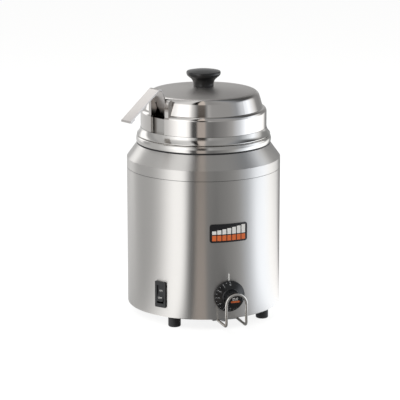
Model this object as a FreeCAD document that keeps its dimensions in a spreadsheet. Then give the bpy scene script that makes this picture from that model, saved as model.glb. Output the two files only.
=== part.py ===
"""Countertop soup kettle: a heated water vessel, a lift-out jar, a notched lid and a ladle.

Millimetres. +Z is up and the counter is z = 0. The dial faces -Y, the front. A piece that
stands at another bearing is built at the front and turned about Z, positive towards +X.
"""
import FreeCAD, Part
import Sketcher

import math
import os

Vector = FreeCAD.Vector
Rotation = FreeCAD.Rotation
Placement = FreeCAD.Placement
X_AXIS = Vector(1, 0, 0)
Y_AXIS = Vector(0, 1, 0)
Z_AXIS = Vector(0, 0, 1)

# Driving dimensions
DRIVING = {
    # Sheet metal, gaps and fits
    "sheet": 0.9,
    "fit_gap": 0.3,
    "seat_gap": 0.1,
    "press_gap": 0.05,
    "film_gap": 0.02,
    "hole_clearance": 0.3,
    # Casing
    "body_radius": 95,
    "foot_height": 14,
    "wrapper_height": 172,
    "seam_gap": 0.5,
    "bottom_edge_round": 1.2,
    "bottom_lip_radius": 72,
    "band_height": 12.5,
    "shoulder_rise": 17.1,
    "shoulder_top_radius": 82.6,
    "upstand_gap": 0.8,
    "upstand_drop": 3,
    "lap_depth": 10,
    "base_thickness": 1.2,
    "vent_circle": 52,
    "vent_width": 5,
    "vent_length": 22,
    "vent_corner": 2.4,
    # Water vessel and its jacket
    "well_radius": 78.6,
    "vessel_floor": 72,
    "vessel_corner": 10,
    "rim_radius": 83,
    "rim_bulge": 9,
    "rim_height": 8,
    "gasket_height": 2.2,
    "jacket_gap": 3,
    "jacket_rise": 14,
    "jacket_drop": 4,
    # Jar and collar
    "jar_radius": 73.2,
    "jar_floor": 83,
    "jar_corner": 9,
    "jar_rim_top": 254.8,
    "collar_radius": 82.4,
    "collar_ledge_radius": 78,
    "collar_height": 9.8,
    "collar_sleeve": 7,
    "collar_roll": 1.4,
    "collar_flare": 14,
    "collar_fold": 2.6,
    # Lid
    "skirt_radius": 77.8,
    "skirt_height": 19,
    "ledge_round": 4.6,
    "lid_wall_radius": 73.2,
    "lid_crown_radius": 67.3,
    "lid_wall_height": 20.4,
    "crown_round": 8.58,
    "crown_side_drop": 6.07,
    "crown_edge_inset": 5.07,
    "crown_rise": 5.2,
    "notch_angle": -65.4,
    "notch_width": 24,
    "notch_top_margin": 2.2,
    "notch_return": 2.6,
    "notch_rim_clearance": 2,
    "notch_cut_depth": 40,
    "cheek_width": 5.5,
    "cheek_depth": 8.7,
    "cheek_corner": 1.4,
    "cheek_reach": 77.2,
    "cheek_round": 5,
    "cheek_top_drop": 1.7,
    # Lid knob
    "lid_knob_radius": 21,
    "lid_knob_neck": 12.5,
    "lid_knob_height": 21.2,
    "lid_knob_neck_height": 3.6,
    "lid_knob_flare": 11,
    "lid_knob_waist_height": 10.4,
    "lid_knob_waist": 16.3,
    "lid_knob_rim_start": 12.8,
    "lid_knob_rim_inset": 1.8,
    "lid_knob_rim_round": 5,
    "lid_knob_edge_drop": 1,
    "lid_knob_edge_inset": 1.4,
    "lid_knob_edge_round": 1.2,
    "lid_knob_top_rise": 2.4,
    "lid_knob_socket": 12,
    "washer_radius": 7,
    "washer_height": 1,
    # Ladle
    "strip_width": 17.6,
    "strip_thickness": 1.6,
    "ladle_angle": -67.4,
    "strip_lean": 19.8,
    "strip_length": 202.6,
    "apex_reach": 75.5,
    "apex_height": 293.5,
    "grip_drop": 36.8,
    "grip_length": 59.5,
    "grip_bend": 4.2,
    "hem_length": 6,
    "bowl_sphere": 28.5,
    "bowl_lip": 8.5,
    "bowl_wall": 1,
    "strip_tail": 1,
    "rivet_radius": 1.6,
    "rivet_head_radius": 2.7,
    "rivet_head": 1,
    "rivet_first": 3,
    "rivet_pitch": 4,
    "rivet_slack": 0.2,
    # Dial
    "dial_height": 43.4,
    "dial_radius": 19.3,
    "dial_back_gap": 1.2,
    "dial_rim_height": 2.4,
    "dial_rim_round": 0.6,
    "dial_skirt_height": 6,
    "dial_skirt_wall": 3.5,
    "dial_boss_radius": 6,
    "dial_boss_recess": 4,
    "dial_front": 118,
    "grip_radius": 10.2,
    "grip_base": 8.4,
    "grip_base_flare": 1.6,
    "grip_base_round": 2,
    "grip_edge_round": 1,
    "grip_face_drop": 1,
    "grip_flute_radius": 1.6,
    "grip_flute_offset": 1.1,
    "cap_ring": 2.4,
    "cap_thickness": 2.2,
    "cap_edge_round": 0.6,
    # Thermostat
    "shaft_radius": 3,
    "shaft_clearance": 0.05,
    "shaft_hole_gap": 2.5,
    "shaft_inner_depth": 14,
    "shaft_front_drop": 5,
    "shaft_flat": 0.7,
    "shaft_flat_start": 3,
    "thermostat_width": 34,
    "thermostat_depth": 30,
    "bracket_front": 88,
    "bracket_sheet": 1.5,
    "bracket_side": 5,
    "bracket_foot": 2.8,
    "thermostat_screw_pitch": 22,
    "blade_width": 6.3,
    "blade_thickness": 0.8,
    "thermostat_blade_length": 7,
    "thermostat_blade_pitch": 16,
    "thermostat_blade_rise": 5,
    "bulb_radius": 3,
    "bulb_length": 60,
    "capillary_radius": 0.8,
    # Dial guard
    "wire_radius": 1.6,
    "guard_reach": 122.2,
    "guard_half_width": 12.7,
    "guard_top": 51.9,
    "guard_foot_bend": 5,
    "guard_inner_end": 70,
    "clamp_drop": 2.6,
    "clamp_height": 3.8,
    "clamp_depth": 10,
    "clamp_side": 4,
    "clamp_screw_circle": 79.05,
    # Rocker switch
    "switch_angle": -52,
    "switch_height": 42.4,
    "bezel_width": 15.2,
    "bezel_height": 32.4,
    "bezel_thickness": 2,
    "bezel_corner": 0.6,
    "switch_body_width": 13,
    "switch_body_height": 27,
    "switch_depth": 23,
    "switch_hole_gap": 0.5,
    "switch_blade_length": 8,
    "switch_blade_rise": 7,
    "rocker_pivot_depth": 5.2,
    "rocker_well_depth": 7.5,
    "rocker_well_side": 0.4,
    "rocker_well_end": 1.5,
    "rocker_width": 9,
    "rocker_half_height": 9.8,
    "rocker_tilt": 10,
    "rocker_pin_radius": 1.2,
    "rocker_pin_inset": 0.3,
    "rocker_crest": 5.8,
    "rocker_tip": 7.3,
    "rocker_shoulder": 0.5,
    "rocker_end_inset": 0.3,
    "rocker_keel": 4,
    # Badge and index mark
    "badge_width": 48,
    "badge_height": 22.8,
    "badge_level": 122.2,
    "badge_corner": 3,
    "badge_thickness": 0.6,
    "mark_width": 1.4,
    "mark_height": 9,
    "mark_level": 66.6,
    "mark_corner": 0.35,
    "mark_thickness": 0.15,
    # Feet
    "foot_radius": 7.75,
    "foot_circle": 81,
    "foot_round": 1.6,
    "foot_seat": 5.5,
    "foot_recess_gap": 0.5,
    # Screws and nuts
    "screw_radius": 2,
    "screw_head_radius": 4,
    "screw_head_height": 2.6,
    "screw_slot": 1,
    "screw_end": 6,
    "nut_flats": 7,
    "nut_height": 3.2,
    "small_screw_radius": 1.5,
    "small_screw_head_radius": 2.8,
    "small_screw_head_height": 2,
    "small_screw_clearance": 0.2,
    # Cord inlet
    "inlet_height": 38,
    "inlet_bore": 4.5,
    "inlet_radius": 7.8,
    "inlet_flange": 11,
    "inlet_flange_height": 4,
    "inlet_flange_round": 2,
    "inlet_mouth_round": 1,
    "inlet_depth": 14,
    "inlet_nut_flats": 22,
    "inlet_nut_height": 4,
    "inlet_nut_gap": 2,
    # Heater and high-limit cut-out
    "element_circle": 52,
    "element_radius": 4,
    "element_leg_radius": 3.2,
    "element_leg_length": 18,
    "clamp_bar_overhang": 11,
    "clamp_bar_width": 18,
    "clamp_bar_thickness": 2.5,
    "stud_length": 22,
    "stud_nut_flats": 10,
    "stud_nut_height": 5,
    "cutout_place": 27,
    "cutout_radius": 8.5,
    "cutout_height": 10.4,
    "cutout_ear_length": 30,
    "cutout_ear_width": 9,
    "cutout_ear_height": 1,
    "cutout_screw_pitch": 24,
    # Supply block and wiring
    "block_place": 62,
    "block_width": 44,
    "block_depth": 16,
    "block_height": 12,
    "block_screw_pitch": 36,
    "block_socket_pitch": 10,
    "block_socket_radius": 1.9,
    "block_socket_depth": 5,
    "earth_place": 30,
    "lead_radius": 1.3,
}

FOOT_BEARINGS = {"front_right": 45, "rear_right": 135, "rear_left": -135, "front_left": -45}
REAR = 180
ELEMENT_GAP_ANGLE = 40
VENT_COUNT = 8
GRIP_FLUTE_COUNT = 12
SIDES = (-1, 1)
CUT_PAST = 5
BEND_SHARE = 0.45
VOLUME_TOLERANCE = 0.01


class Size:
    """A length that knows its value and the sheet expression that gives it."""

    def __init__(self, value, text):
        self.value = value
        self.text = text

    @staticmethod
    def of(item):
        """Wrap a plain number as a Size."""
        return item if isinstance(item, Size) else Size(float(item), repr(float(item)))

    def _join(self, other, sign, value):
        return Size(value, f"({self.text} {sign} {Size.of(other).text})")

    def __add__(self, other):
        return self._join(other, "+", self.value + Size.of(other).value)

    def __sub__(self, other):
        return self._join(other, "-", self.value - Size.of(other).value)

    def __mul__(self, other):
        return self._join(other, "*", self.value * Size.of(other).value)

    def __truediv__(self, other):
        return self._join(other, "/", self.value / Size.of(other).value)

    def __radd__(self, other):
        return Size.of(other) + self

    def __rsub__(self, other):
        return Size.of(other) - self

    def __rmul__(self, other):
        return Size.of(other) * self

    def __neg__(self):
        return Size(-self.value, f"(0 - {self.text})")

    def __float__(self):
        return self.value


def sine(angle):
    """Sine of an angle in degrees."""
    return Size(math.sin(math.radians(angle.value)), f"sin({angle.text} * 1 deg)")


def cosine(angle):
    """Cosine of an angle in degrees."""
    return Size(math.cos(math.radians(angle.value)), f"cos({angle.text} * 1 deg)")


class Bulge:
    """Marks an outline's edge as an arc; side +1 bulges left of the way it is drawn."""

    def __init__(self, radius, side):
        self.radius = Size.of(radius)
        self.side = side


doc = FreeCAD.newDocument("SoupKettle")
sheet = doc.addObject("Spreadsheet::Sheet", "Sizes")
for row, (alias, number) in enumerate(DRIVING.items(), start=1):
    sheet.set(f"A{row}", alias)
    sheet.set(f"B{row}", str(number))
    sheet.setAlias(f"B{row}", alias)
doc.recompute()

subparts = []


def size(alias):
    """The named driving dimension as a Size."""
    return Size(float(sheet.get(alias)), f"Sizes.{alias}")


def keep(obj, label):
    """Name an object as a sub-part that gets a file of its own."""
    obj.Label = label
    subparts.append(obj)


def bind(obj, **properties):
    """Tie an object's properties to sizes."""
    for name, item in properties.items():
        obj.setExpression(name, Size.of(item).text)


# Placements
def point(across, along, up):
    """A point from sizes or numbers."""
    return Vector(float(across), float(along), float(up))


def moved(across, along, up):
    """Placement that only moves."""
    return Placement(point(across, along, up), Rotation())


def turned(angle, height=0):
    """Placement that turns a piece built at the front to a bearing."""
    return Placement(point(0, 0, height), Rotation(Z_AXIS, float(angle)))


def facing(angle, height):
    """Placement whose local X is to the right, Y up and Z outward, at a bearing."""
    return turned(angle, height) * Placement(Vector(), Rotation(X_AXIS, 90))


def at_bearing(radius, angle, height=0):
    """Point at a distance from the axis and a bearing from the front."""
    turn = math.radians(float(angle))
    return point(float(radius) * math.sin(turn), -float(radius) * math.cos(turn), height)


# Sketch helpers
def new_sketch(body, role):
    """An empty sketch on one of a body's own origin planes."""
    sketch = body.newObject("Sketcher::SketchObject", "Outline")
    plane = next(item for item in body.Origin.OriginFeatures if item.Role == role)
    sketch.AttachmentSupport = [(plane, "")]
    sketch.MapMode = "FlatFace"
    return sketch


def dome_radius(half_width, rise):
    """Radius of the sphere that rises so much over a circle."""
    return (half_width * half_width + rise * rise) / (rise * 2)


def arc_between(start, end, bulge):
    """The minor arc from one point to another that a Bulge describes."""
    along = end - start
    left = Vector(-along.y, along.x, 0).normalize() * bulge.side
    radius = float(bulge.radius)
    depth = radius - math.sqrt(max(radius**2 - (along.Length / 2) ** 2, 0))
    return Part.Arc(start, (start + end) / 2 + left * depth, end)


def draw_edges(sketch, points, bulges):
    """Draw a closed ring of lines and arcs; gives each edge's index and its two ends in order."""
    ends = []
    for number, start in enumerate(points):
        end = points[(number + 1) % len(points)]
        bulge = bulges[number]
        edge = Part.LineSegment(start, end) if bulge is None else arc_between(start, end, bulge)
        index = sketch.addGeometry(edge)
        forward = (sketch.getPoint(index, 1) - start).Length < (sketch.getPoint(index, 2) - start).Length
        ends.append((index, 1, 2) if forward else (index, 2, 1))
        if bulge is not None:
            radius = sketch.addConstraint(Sketcher.Constraint("Radius", index, float(bulge.radius)))
            sketch.setExpression(f"Constraints[{radius}]", bulge.radius.text)
    return ends


def draw_outline(sketch, outline):
    """Draw a closed outline of corners and Bulges, and bind every corner and radius."""
    corners, bulges = [], []
    for item in outline:
        if isinstance(item, Bulge):
            bulges[-1] = item
        else:
            corners.append(item)
            bulges.append(None)
    ends = draw_edges(sketch, [point(across, up, 0) for across, up in corners], bulges)
    for number, corner in enumerate(corners):
        index, first, _ = ends[number]
        before, _, last = ends[number - 1]
        sketch.addConstraint(Sketcher.Constraint("Coincident", before, last, index, first))
        for kind, axis, item in (("DistanceX", -2, corner[0]), ("DistanceY", -1, corner[1])):
            item = Size.of(item)
            if item.value == 0:
                sketch.addConstraint(Sketcher.Constraint("PointOnObject", index, first, axis))
                continue
            distance = sketch.addConstraint(Sketcher.Constraint(kind, -1, 1, index, first, item.value))
            sketch.setExpression(f"Constraints[{distance}]", item.text)
    return sketch


def rounded_box(width, height, corner, level=0):
    """Outline of a rectangle with round corners, centred across, with its middle at a level."""
    side, inner = width / 2, width / 2 - corner
    top, bottom = level + height / 2, level - height / 2
    return [
        (-inner, bottom), (inner, bottom), Bulge(corner, -1), (side, bottom + corner),
        (side, top - corner), Bulge(corner, -1), (inner, top), (-inner, top), Bulge(corner, -1),
        (-side, top - corner), (-side, bottom + corner), Bulge(corner, -1)]


# Solid helpers
def revolved(outline):
    """A body turned about its Z axis from an outline of radius and height."""
    body = doc.addObject("PartDesign::Body", "Turned")
    sketch = draw_outline(new_sketch(body, "XZ_Plane"), outline)
    turning = body.newObject("PartDesign::Revolution", "Turning")
    turning.Profile = sketch
    turning.ReferenceAxis = (sketch, ["V_Axis"])
    turning.Angle = 360
    return body


def padded(outline, length, role="XZ_Plane", centred=True):
    """A body padded from an outline on one of its origin planes."""
    body = doc.addObject("PartDesign::Body", "Padded")
    sketch = draw_outline(new_sketch(body, role), outline)
    pad = body.newObject("PartDesign::Pad", "Pad")
    pad.Profile = sketch
    pad.Midplane = centred
    bind(pad, Length=length)
    return body


def cylinder(radius, height, base=(0, 0, 0), placement=Placement()):
    """A cylinder up from a point of its own placement."""
    obj = doc.addObject("Part::Cylinder", "Round")
    bind(obj, Radius=radius, Height=height)
    obj.Placement = placement * moved(*base)
    return obj


def box(width, depth, height, base, placement=Placement()):
    """A box centred across and along, up from a point of its own placement."""
    obj = doc.addObject("Part::Box", "Block")
    bind(obj, Length=width, Width=depth, Height=height)
    corner = moved(-float(width) / 2, -float(depth) / 2, 0)
    obj.Placement = placement * moved(*base) * corner
    return obj


def fused(*shapes):
    """One solid of several."""
    obj = doc.addObject("Part::MultiFuse", "Joined")
    obj.Shapes = list(shapes)
    obj.Refine = True
    return obj


def cut(base, *tools):
    """A solid with tools taken out of it."""
    obj = doc.addObject("Part::Cut", "Trimmed")
    obj.Base = base
    obj.Tool = tools[0] if len(tools) == 1 else fused(*tools)
    return obj


def common(first, second):
    """What two solids share."""
    obj = doc.addObject("Part::Common", "Shared")
    obj.Base = first
    obj.Tool = second
    return obj


def group(*shapes):
    """Separate solids kept together."""
    obj = doc.addObject("Part::Compound", "Set")
    obj.Links = list(shapes)
    return obj


def nut(across_flats, height, bore, placement):
    """A hexagonal nut up from its placement."""
    hexagon = doc.addObject("Part::Prism", "Hexagon")
    hexagon.Polygon = 6
    bind(hexagon, Circumradius=across_flats / math.sqrt(3), Height=height)
    hexagon.Placement = placement
    return cut(hexagon, cylinder(bore, height + 2 * CUT_PAST, (0, 0, -CUT_PAST), placement))


def screw(length, placement, kind="screw"):
    """A slotted screw whose shank runs up from its placement, with the head below."""
    head_radius, head_height = size(f"{kind}_head_radius"), size(f"{kind}_head_height")
    slot = size("screw_slot")
    head = cylinder(head_radius, head_height, (0, 0, -head_height), placement)
    groove = box(slot, head_radius * 3, slot, (0, 0, -head_height), placement)
    return fused(cut(head, groove), cylinder(size(f"{kind}_radius"), length, placement=placement))


# Wire helpers
def bent_path(points, bends):
    """Straight runs through points, joined by tangent arcs of the given radii."""
    edges = []
    start = points[0]
    for before, corner, after, radius in zip(points, points[1:], points[2:], bends):
        come, leave = (corner - before).normalize(), (after - corner).normalize()
        turn = come.getAngle(leave)
        setback = radius * math.tan(turn / 2)
        inward = (leave - come).normalize()
        first, last = corner - come * setback, corner + leave * setback
        middle = corner + inward * (radius / math.cos(turn / 2) - radius)
        edges.append(Part.LineSegment(start, first).toShape())
        edges.append(Part.Arc(first, middle, last).toShape())
        start = last
    edges.append(Part.LineSegment(start, points[-1]).toShape())
    return Part.Wire(edges)


def even_bends(points):
    """For each inner point, the radius that uses the same share of the shorter run beside it."""
    bends = []
    for before, corner, after in zip(points, points[1:], points[2:]):
        come, leave = corner - before, after - corner
        bends.append(BEND_SHARE * min(come.Length, leave.Length) / math.tan(come.getAngle(leave) / 2))
    return bends


def tube(path, radius):
    """A round wire along a path, checked against its section times its length."""
    first = path.Edges[0]
    start, heading = first.valueAt(first.FirstParameter), first.tangentAt(first.FirstParameter)
    section = Part.Wire([Part.makeCircle(float(radius), start, heading)])
    solid = path.makePipeShell([section], True, True)
    expected = math.pi * float(radius) ** 2 * path.Length
    if abs(solid.Volume - expected) > VOLUME_TOLERANCE * expected:
        raise ValueError(f"wire volume {solid.Volume:.1f}, expected {expected:.1f}")
    obj = doc.addObject("Part::Feature", "Wire")
    obj.Shape = solid
    obj.Placement = Placement()
    return obj


# Levels and places that several pieces share
sheet_wall = size("sheet")
body_radius = size("body_radius")
body_bottom = size("foot_height")
body_inner = body_radius - sheet_wall
lip_top = body_bottom + sheet_wall
base_top = lip_top + size("base_thickness")
seam = body_bottom + size("wrapper_height")
band_bottom = seam + size("seam_gap")
band_top = band_bottom + size("band_height")
cone_top = band_top + size("shoulder_rise")
rim_bottom = cone_top + size("gasket_height")
rim_top = rim_bottom + size("rim_height")
well_radius = size("well_radius")
well_outer = well_radius + sheet_wall
upstand_inner = well_outer + size("upstand_gap")
upstand_outer = upstand_inner + sheet_wall
vessel_floor = size("vessel_floor")
jar_radius = size("jar_radius")
collar_bottom = rim_top + size("fit_gap")
collar_top = collar_bottom + size("collar_height")
skirt_bottom = collar_top + size("fit_gap")
ledge_level = skirt_bottom + size("skirt_height")
ledge_top = ledge_level + size("ledge_round")
crown_level = ledge_top + size("lid_wall_height")
lid_centre = crown_level + size("crown_rise")
screw_radius = size("screw_radius")
screw_hole = screw_radius + size("hole_clearance")
screw_bite = screw_radius + size("press_gap")
small_screw_hole = size("small_screw_radius") + size("small_screw_clearance")
small_screw_bite = size("small_screw_radius") + size("press_gap")
thermostat_face = size("bracket_front") - size("bracket_sheet")
thermostat_back = thermostat_face - size("thermostat_depth")
thermostat_blade_end = thermostat_back - size("thermostat_blade_length")
element_level = vessel_floor - size("element_radius") - size("seat_gap")
element_foot = element_level - size("element_leg_length")
cutout_bottom = vessel_floor - size("seat_gap") - size("cutout_height")
rocker_pivot = body_radius - size("rocker_pivot_depth")
switch_back = body_radius - size("switch_depth")
dial_place = facing(0, size("dial_height"))
switch_place = facing(size("switch_angle"), size("switch_height"))
inlet_place = facing(REAR, size("inlet_height"))
foot_places = {name: Placement(at_bearing(size("foot_circle"), bearing), Rotation())
               for name, bearing in FOOT_BEARINGS.items()}
clamp_place = moved(0, -size("clamp_screw_circle"), 0)
bottom_screw_places = [*foot_places.values(), clamp_place]


# Casing
def make_outer_wrapper():
    """Rolled body with a turned-in lip, pierced for the dial, switch, inlet and screws."""
    edge, lip = size("bottom_edge_round"), size("bottom_lip_radius")
    shell = revolved([
        (lip, body_bottom), (body_radius - edge, body_bottom), Bulge(edge, -1),
        (body_radius, body_bottom + edge), (body_radius, seam), (body_inner, seam),
        (body_inner, lip_top), (lip, lip_top)])
    gap = size("switch_hole_gap") * 2
    start = (0, 0, body_inner - 3 * CUT_PAST)
    through = 5 * CUT_PAST
    openings = [
        cylinder(size("shaft_radius") + size("shaft_hole_gap"), through, start, dial_place),
        box(size("switch_body_width") + gap, size("switch_body_height") + gap, through, start, switch_place),
        cylinder(size("inlet_radius") + size("hole_clearance"), through, start, inlet_place)]
    for place in bottom_screw_places:
        openings.append(cylinder(screw_hole, 2 * CUT_PAST, (0, 0, body_bottom - CUT_PAST), place))
    keep(cut(shell, *openings), "outer_wrapper")


def make_shoulder_shell():
    """Spun shoulder: a lap inside the wrapper, a band, a cone and an upstand under the rim."""
    top_radius = size("shoulder_top_radius")
    upstand_top = rim_top - size("upstand_drop")
    lap_outer = body_inner - size("fit_gap")
    lap_inner = lap_outer - sheet_wall
    lap_bottom = seam - size("lap_depth")
    keep(revolved([
        (lap_outer, lap_bottom), (lap_outer, band_bottom), (body_radius, band_bottom),
        (body_radius, band_top), (top_radius, cone_top), (upstand_outer, cone_top),
        (upstand_outer, upstand_top), (upstand_inner, upstand_top), (upstand_inner, cone_top - sheet_wall),
        (top_radius - sheet_wall / 2, cone_top - sheet_wall), (body_inner, band_top - sheet_wall / 2),
        (body_inner, band_bottom + sheet_wall), (lap_inner, band_bottom + sheet_wall),
        (lap_inner, lap_bottom),
    ]), "shoulder_shell")


def make_rim_gasket():
    """Seal between the shoulder and the rolled rim."""
    gap = size("press_gap")
    inner, outer = upstand_outer + gap, size("shoulder_top_radius") + gap
    low, high = cone_top + gap, rim_bottom - gap
    keep(revolved([(inner, low), (outer, low), (outer, high), (inner, high)]), "rim_gasket")


def make_water_vessel():
    """Drawn vessel whose rim rolls out and down over the shoulder's upstand."""
    corner, rim_radius = size("vessel_corner"), size("rim_radius")
    roll = (rim_radius - well_radius) / 2
    inner_roll = roll - sheet_wall
    spring = rim_top - roll
    keep(revolved([
        (0, vessel_floor), (well_outer - corner, vessel_floor), Bulge(corner, -1),
        (well_outer, vessel_floor + corner), (well_outer, spring), Bulge(inner_roll, 1),
        (well_radius + roll, rim_top - sheet_wall), Bulge(inner_roll, 1),
        (rim_radius - sheet_wall, spring), (rim_radius - sheet_wall, rim_bottom),
        (rim_radius, rim_bottom), Bulge(size("rim_bulge"), -1), (rim_radius, spring), Bulge(roll, -1),
        (well_radius + roll, rim_top), Bulge(roll, -1),
        (well_radius, spring), (well_radius, vessel_floor + corner), Bulge(corner - sheet_wall, 1),
        (well_outer - corner, vessel_floor + sheet_wall), (0, vessel_floor + sheet_wall)]), "water_vessel")


def make_insulation_jacket():
    """Blanket round the vessel's wall."""
    inner, outer = well_outer + size("fit_gap"), body_inner - size("jacket_gap")
    low, high = vessel_floor + size("jacket_rise"), band_top - size("jacket_drop")
    keep(revolved([(inner, low), (outer, low), (outer, high), (inner, high)]), "insulation_jacket")


def make_base():
    """Vented base plate on the wrapper's lip."""
    plate = cylinder(body_inner - size("fit_gap"), size("base_thickness"), (0, 0, lip_top))
    holes = [cylinder(screw_hole, 2 * CUT_PAST, (0, 0, lip_top - CUT_PAST), place)
             for place in bottom_screw_places]
    slot = rounded_box(size("vent_width"), size("vent_length"), size("vent_corner"))
    for number in range(VENT_COUNT):
        vent = padded(slot, 2 * CUT_PAST, role="XY_Plane")
        vent.Placement = turned(360 / VENT_COUNT * (number + 0.5)) * moved(0, size("vent_circle"), lip_top)
        holes.append(vent)
    keep(cut(plate, *holes), "base_plate")


def make_feet():
    """Four rubber feet with their screws and nuts."""
    radius, edge, seat = size("foot_radius"), size("foot_round"), size("foot_seat")
    recess = size("screw_head_radius") + size("foot_recess_gap")
    screws, nuts = [], []
    for name, place in foot_places.items():
        foot = revolved([
            (recess, 0), (radius - edge, 0), Bulge(edge, -1), (radius, edge), (radius, body_bottom),
            (screw_hole, body_bottom), (screw_hole, seat), (recess, seat)])
        foot.Placement = place
        keep(foot, f"foot_{name}")
        screws.append(screw(base_top + size("screw_end") - seat, place * moved(0, 0, seat)))
        nuts.append(nut(size("nut_flats"), size("nut_height"), screw_bite, place * moved(0, 0, base_top)))
    keep(group(*screws), "foot_screws")
    keep(group(*nuts), "foot_nuts")


# Heater and its controls, under the vessel
def make_heater():
    """Ring element pressed to the vessel's floor by a bar on a stud."""
    circle, radius = size("element_circle"), size("element_radius")
    ring = doc.addObject("Part::Torus", "Ring")
    bind(ring, Radius1=circle, Radius2=radius)
    ring.Angle3 = 360 - ELEMENT_GAP_ANGLE
    ring.Placement = turned(ELEMENT_GAP_ANGLE / 2 - 90, element_level)
    legs = [cylinder(size("element_leg_radius"), size("element_leg_length"),
                     at_bearing(circle, side * ELEMENT_GAP_ANGLE / 2, element_foot)) for side in SIDES]
    keep(fused(ring, *legs), "heating_element")

    thickness = size("clamp_bar_thickness")
    bar_bottom = element_level - radius - size("seat_gap") - thickness
    stud_radius, stud_bottom = size("shaft_radius"), vessel_floor - size("stud_length")
    bar_length = (circle + size("clamp_bar_overhang")) * 2
    bar = box(bar_length, size("clamp_bar_width"), thickness, (0, 0, bar_bottom))
    hole = cylinder(stud_radius + size("hole_clearance"), size("stud_length"), (0, 0, stud_bottom))
    keep(cut(bar, hole), "heater_clamp_bar")
    keep(cylinder(stud_radius, size("stud_length"), (0, 0, stud_bottom)), "heater_clamp_stud")
    height = size("stud_nut_height")
    nut_place = moved(0, 0, bar_bottom - height)
    keep(nut(size("stud_nut_flats"), height, stud_radius + size("press_gap"), nut_place), "heater_clamp_nut")


def make_high_limit():
    """Disc cut-out against the vessel's floor, held by its ears."""
    along, ear = size("cutout_place"), size("cutout_ear_height")
    ear_bottom = vessel_floor - size("seat_gap") - ear
    can = cylinder(size("cutout_radius"), size("cutout_height"), (0, along, cutout_bottom))
    ears = box(size("cutout_ear_length"), size("cutout_ear_width"), ear, (0, along, ear_bottom))
    places = [moved(side * size("cutout_screw_pitch") / 2, along, ear_bottom) for side in SIDES]
    holes = [cylinder(small_screw_bite, 2 * CUT_PAST, (0, 0, -CUT_PAST), place) for place in places]
    keep(cut(fused(can, ears), *holes), "high_limit_cutout")
    keep(group(*(screw(ear, place, "small_screw") for place in places)), "cutout_screws")


def make_thermostat():
    """Bracket, body, screws and terminals behind the dial."""
    front, bent = size("bracket_front"), size("bracket_sheet")
    width, depth = size("thermostat_width"), size("thermostat_depth")
    half, foot = width / 2 + size("bracket_side"), front + size("bracket_foot")
    bracket = padded([
        (-half, -foot), (-half + bent, -foot), (-half + bent, -front), (half - bent, -front),
        (half - bent, -foot), (half, -foot), (half, -front + bent), (-half, -front + bent),
    ], width + size("bracket_side"), role="XY_Plane")
    bracket.Placement = turned(0, size("dial_height"))
    inward = Rotation(X_AXIS, 180)
    places = [dial_place * Placement(point(side * size("thermostat_screw_pitch") / 2, 0, front), inward)
              for side in SIDES]
    through = 2 * CUT_PAST
    shaft_radius = size("shaft_radius")
    shaft_room = cylinder(shaft_radius + size("hole_clearance"), through,
                          (0, 0, front - CUT_PAST), dial_place)
    passages = [cylinder(small_screw_hole, through, (0, 0, -CUT_PAST), place) for place in places]
    keep(cut(bracket, shaft_room, *passages), "thermostat_bracket")

    case = box(width, width, depth, (0, 0, thermostat_back), dial_place)
    bore_start = thermostat_face - size("shaft_inner_depth") - CUT_PAST
    bore = cylinder(shaft_radius + size("shaft_clearance"), depth, (0, 0, bore_start), dial_place)
    tapped = [cylinder(small_screw_bite, through, placement=place) for place in places]
    keep(cut(case, bore, *tapped), "thermostat_body")
    keep(group(*(screw(through - 1, place, "small_screw") for place in places)), "thermostat_screws")
    blades = [box(size("blade_width"), size("blade_thickness"), size("thermostat_blade_length"),
                  (side * size("thermostat_blade_pitch") / 2, size("thermostat_blade_rise"),
                   thermostat_blade_end), dial_place) for side in SIDES]
    keep(group(*blades), "thermostat_terminals")


def make_feeler():
    """Sensing bulb under the vessel's floor and its capillary to the thermostat."""
    radius, length = size("bulb_radius"), size("bulb_length")
    level = float(vessel_floor - radius - size("seat_gap"))
    bulb_end = Vector(22, -26, level)
    start = bulb_end - X_AXIS * float(length)
    keep(cylinder(radius, length, placement=Placement(start, Rotation(Y_AXIS, 90))), "sensing_bulb")
    entry = dial_place.multVec(point(0, 9, thermostat_back))
    route = [bulb_end, bulb_end + Vector(7, 0, 0), bulb_end + Vector(8, -8, -2),
             bulb_end + Vector(0, -13, -5), entry + Vector(11, 14.5, 6), entry + Vector(1, 12.5, 2),
             entry + Vector(0, 8.5, 0), entry]
    keep(tube(bent_path(route, even_bends(route)), size("capillary_radius")), "capillary_tube")


def make_supply_block():
    """Supply block on the base plate, by the inlet, and the earth screw."""
    along, depth, height = size("block_place"), size("block_depth"), size("block_height")
    block = box(size("block_width"), depth, height, (0, along, base_top))
    downward = Rotation(X_AXIS, 180)
    places = [Placement(point(side * size("block_screw_pitch") / 2, along, base_top + height), downward)
              for side in SIDES]
    holes = [cylinder(small_screw_hole, height + 2 * CUT_PAST, (0, 0, -CUT_PAST), place) for place in places]
    front = Placement(point(0, along - depth / 2, base_top + height / 2), Rotation(X_AXIS, -90))
    pitch = size("block_socket_pitch")
    sockets = [cylinder(size("block_socket_radius"), size("block_socket_depth"), (step * pitch, 0, 0), front)
               for step in (-1, 0, 1)]
    keep(cut(block, *holes, *sockets), "terminal_block")
    keep(group(*(screw(height, place, "small_screw") for place in places)), "terminal_block_screws")
    washer = size("washer_height")
    seat = Placement(point(0, size("earth_place"), base_top + washer), downward)
    keep(screw(washer, seat), "earth_screw")


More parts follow.
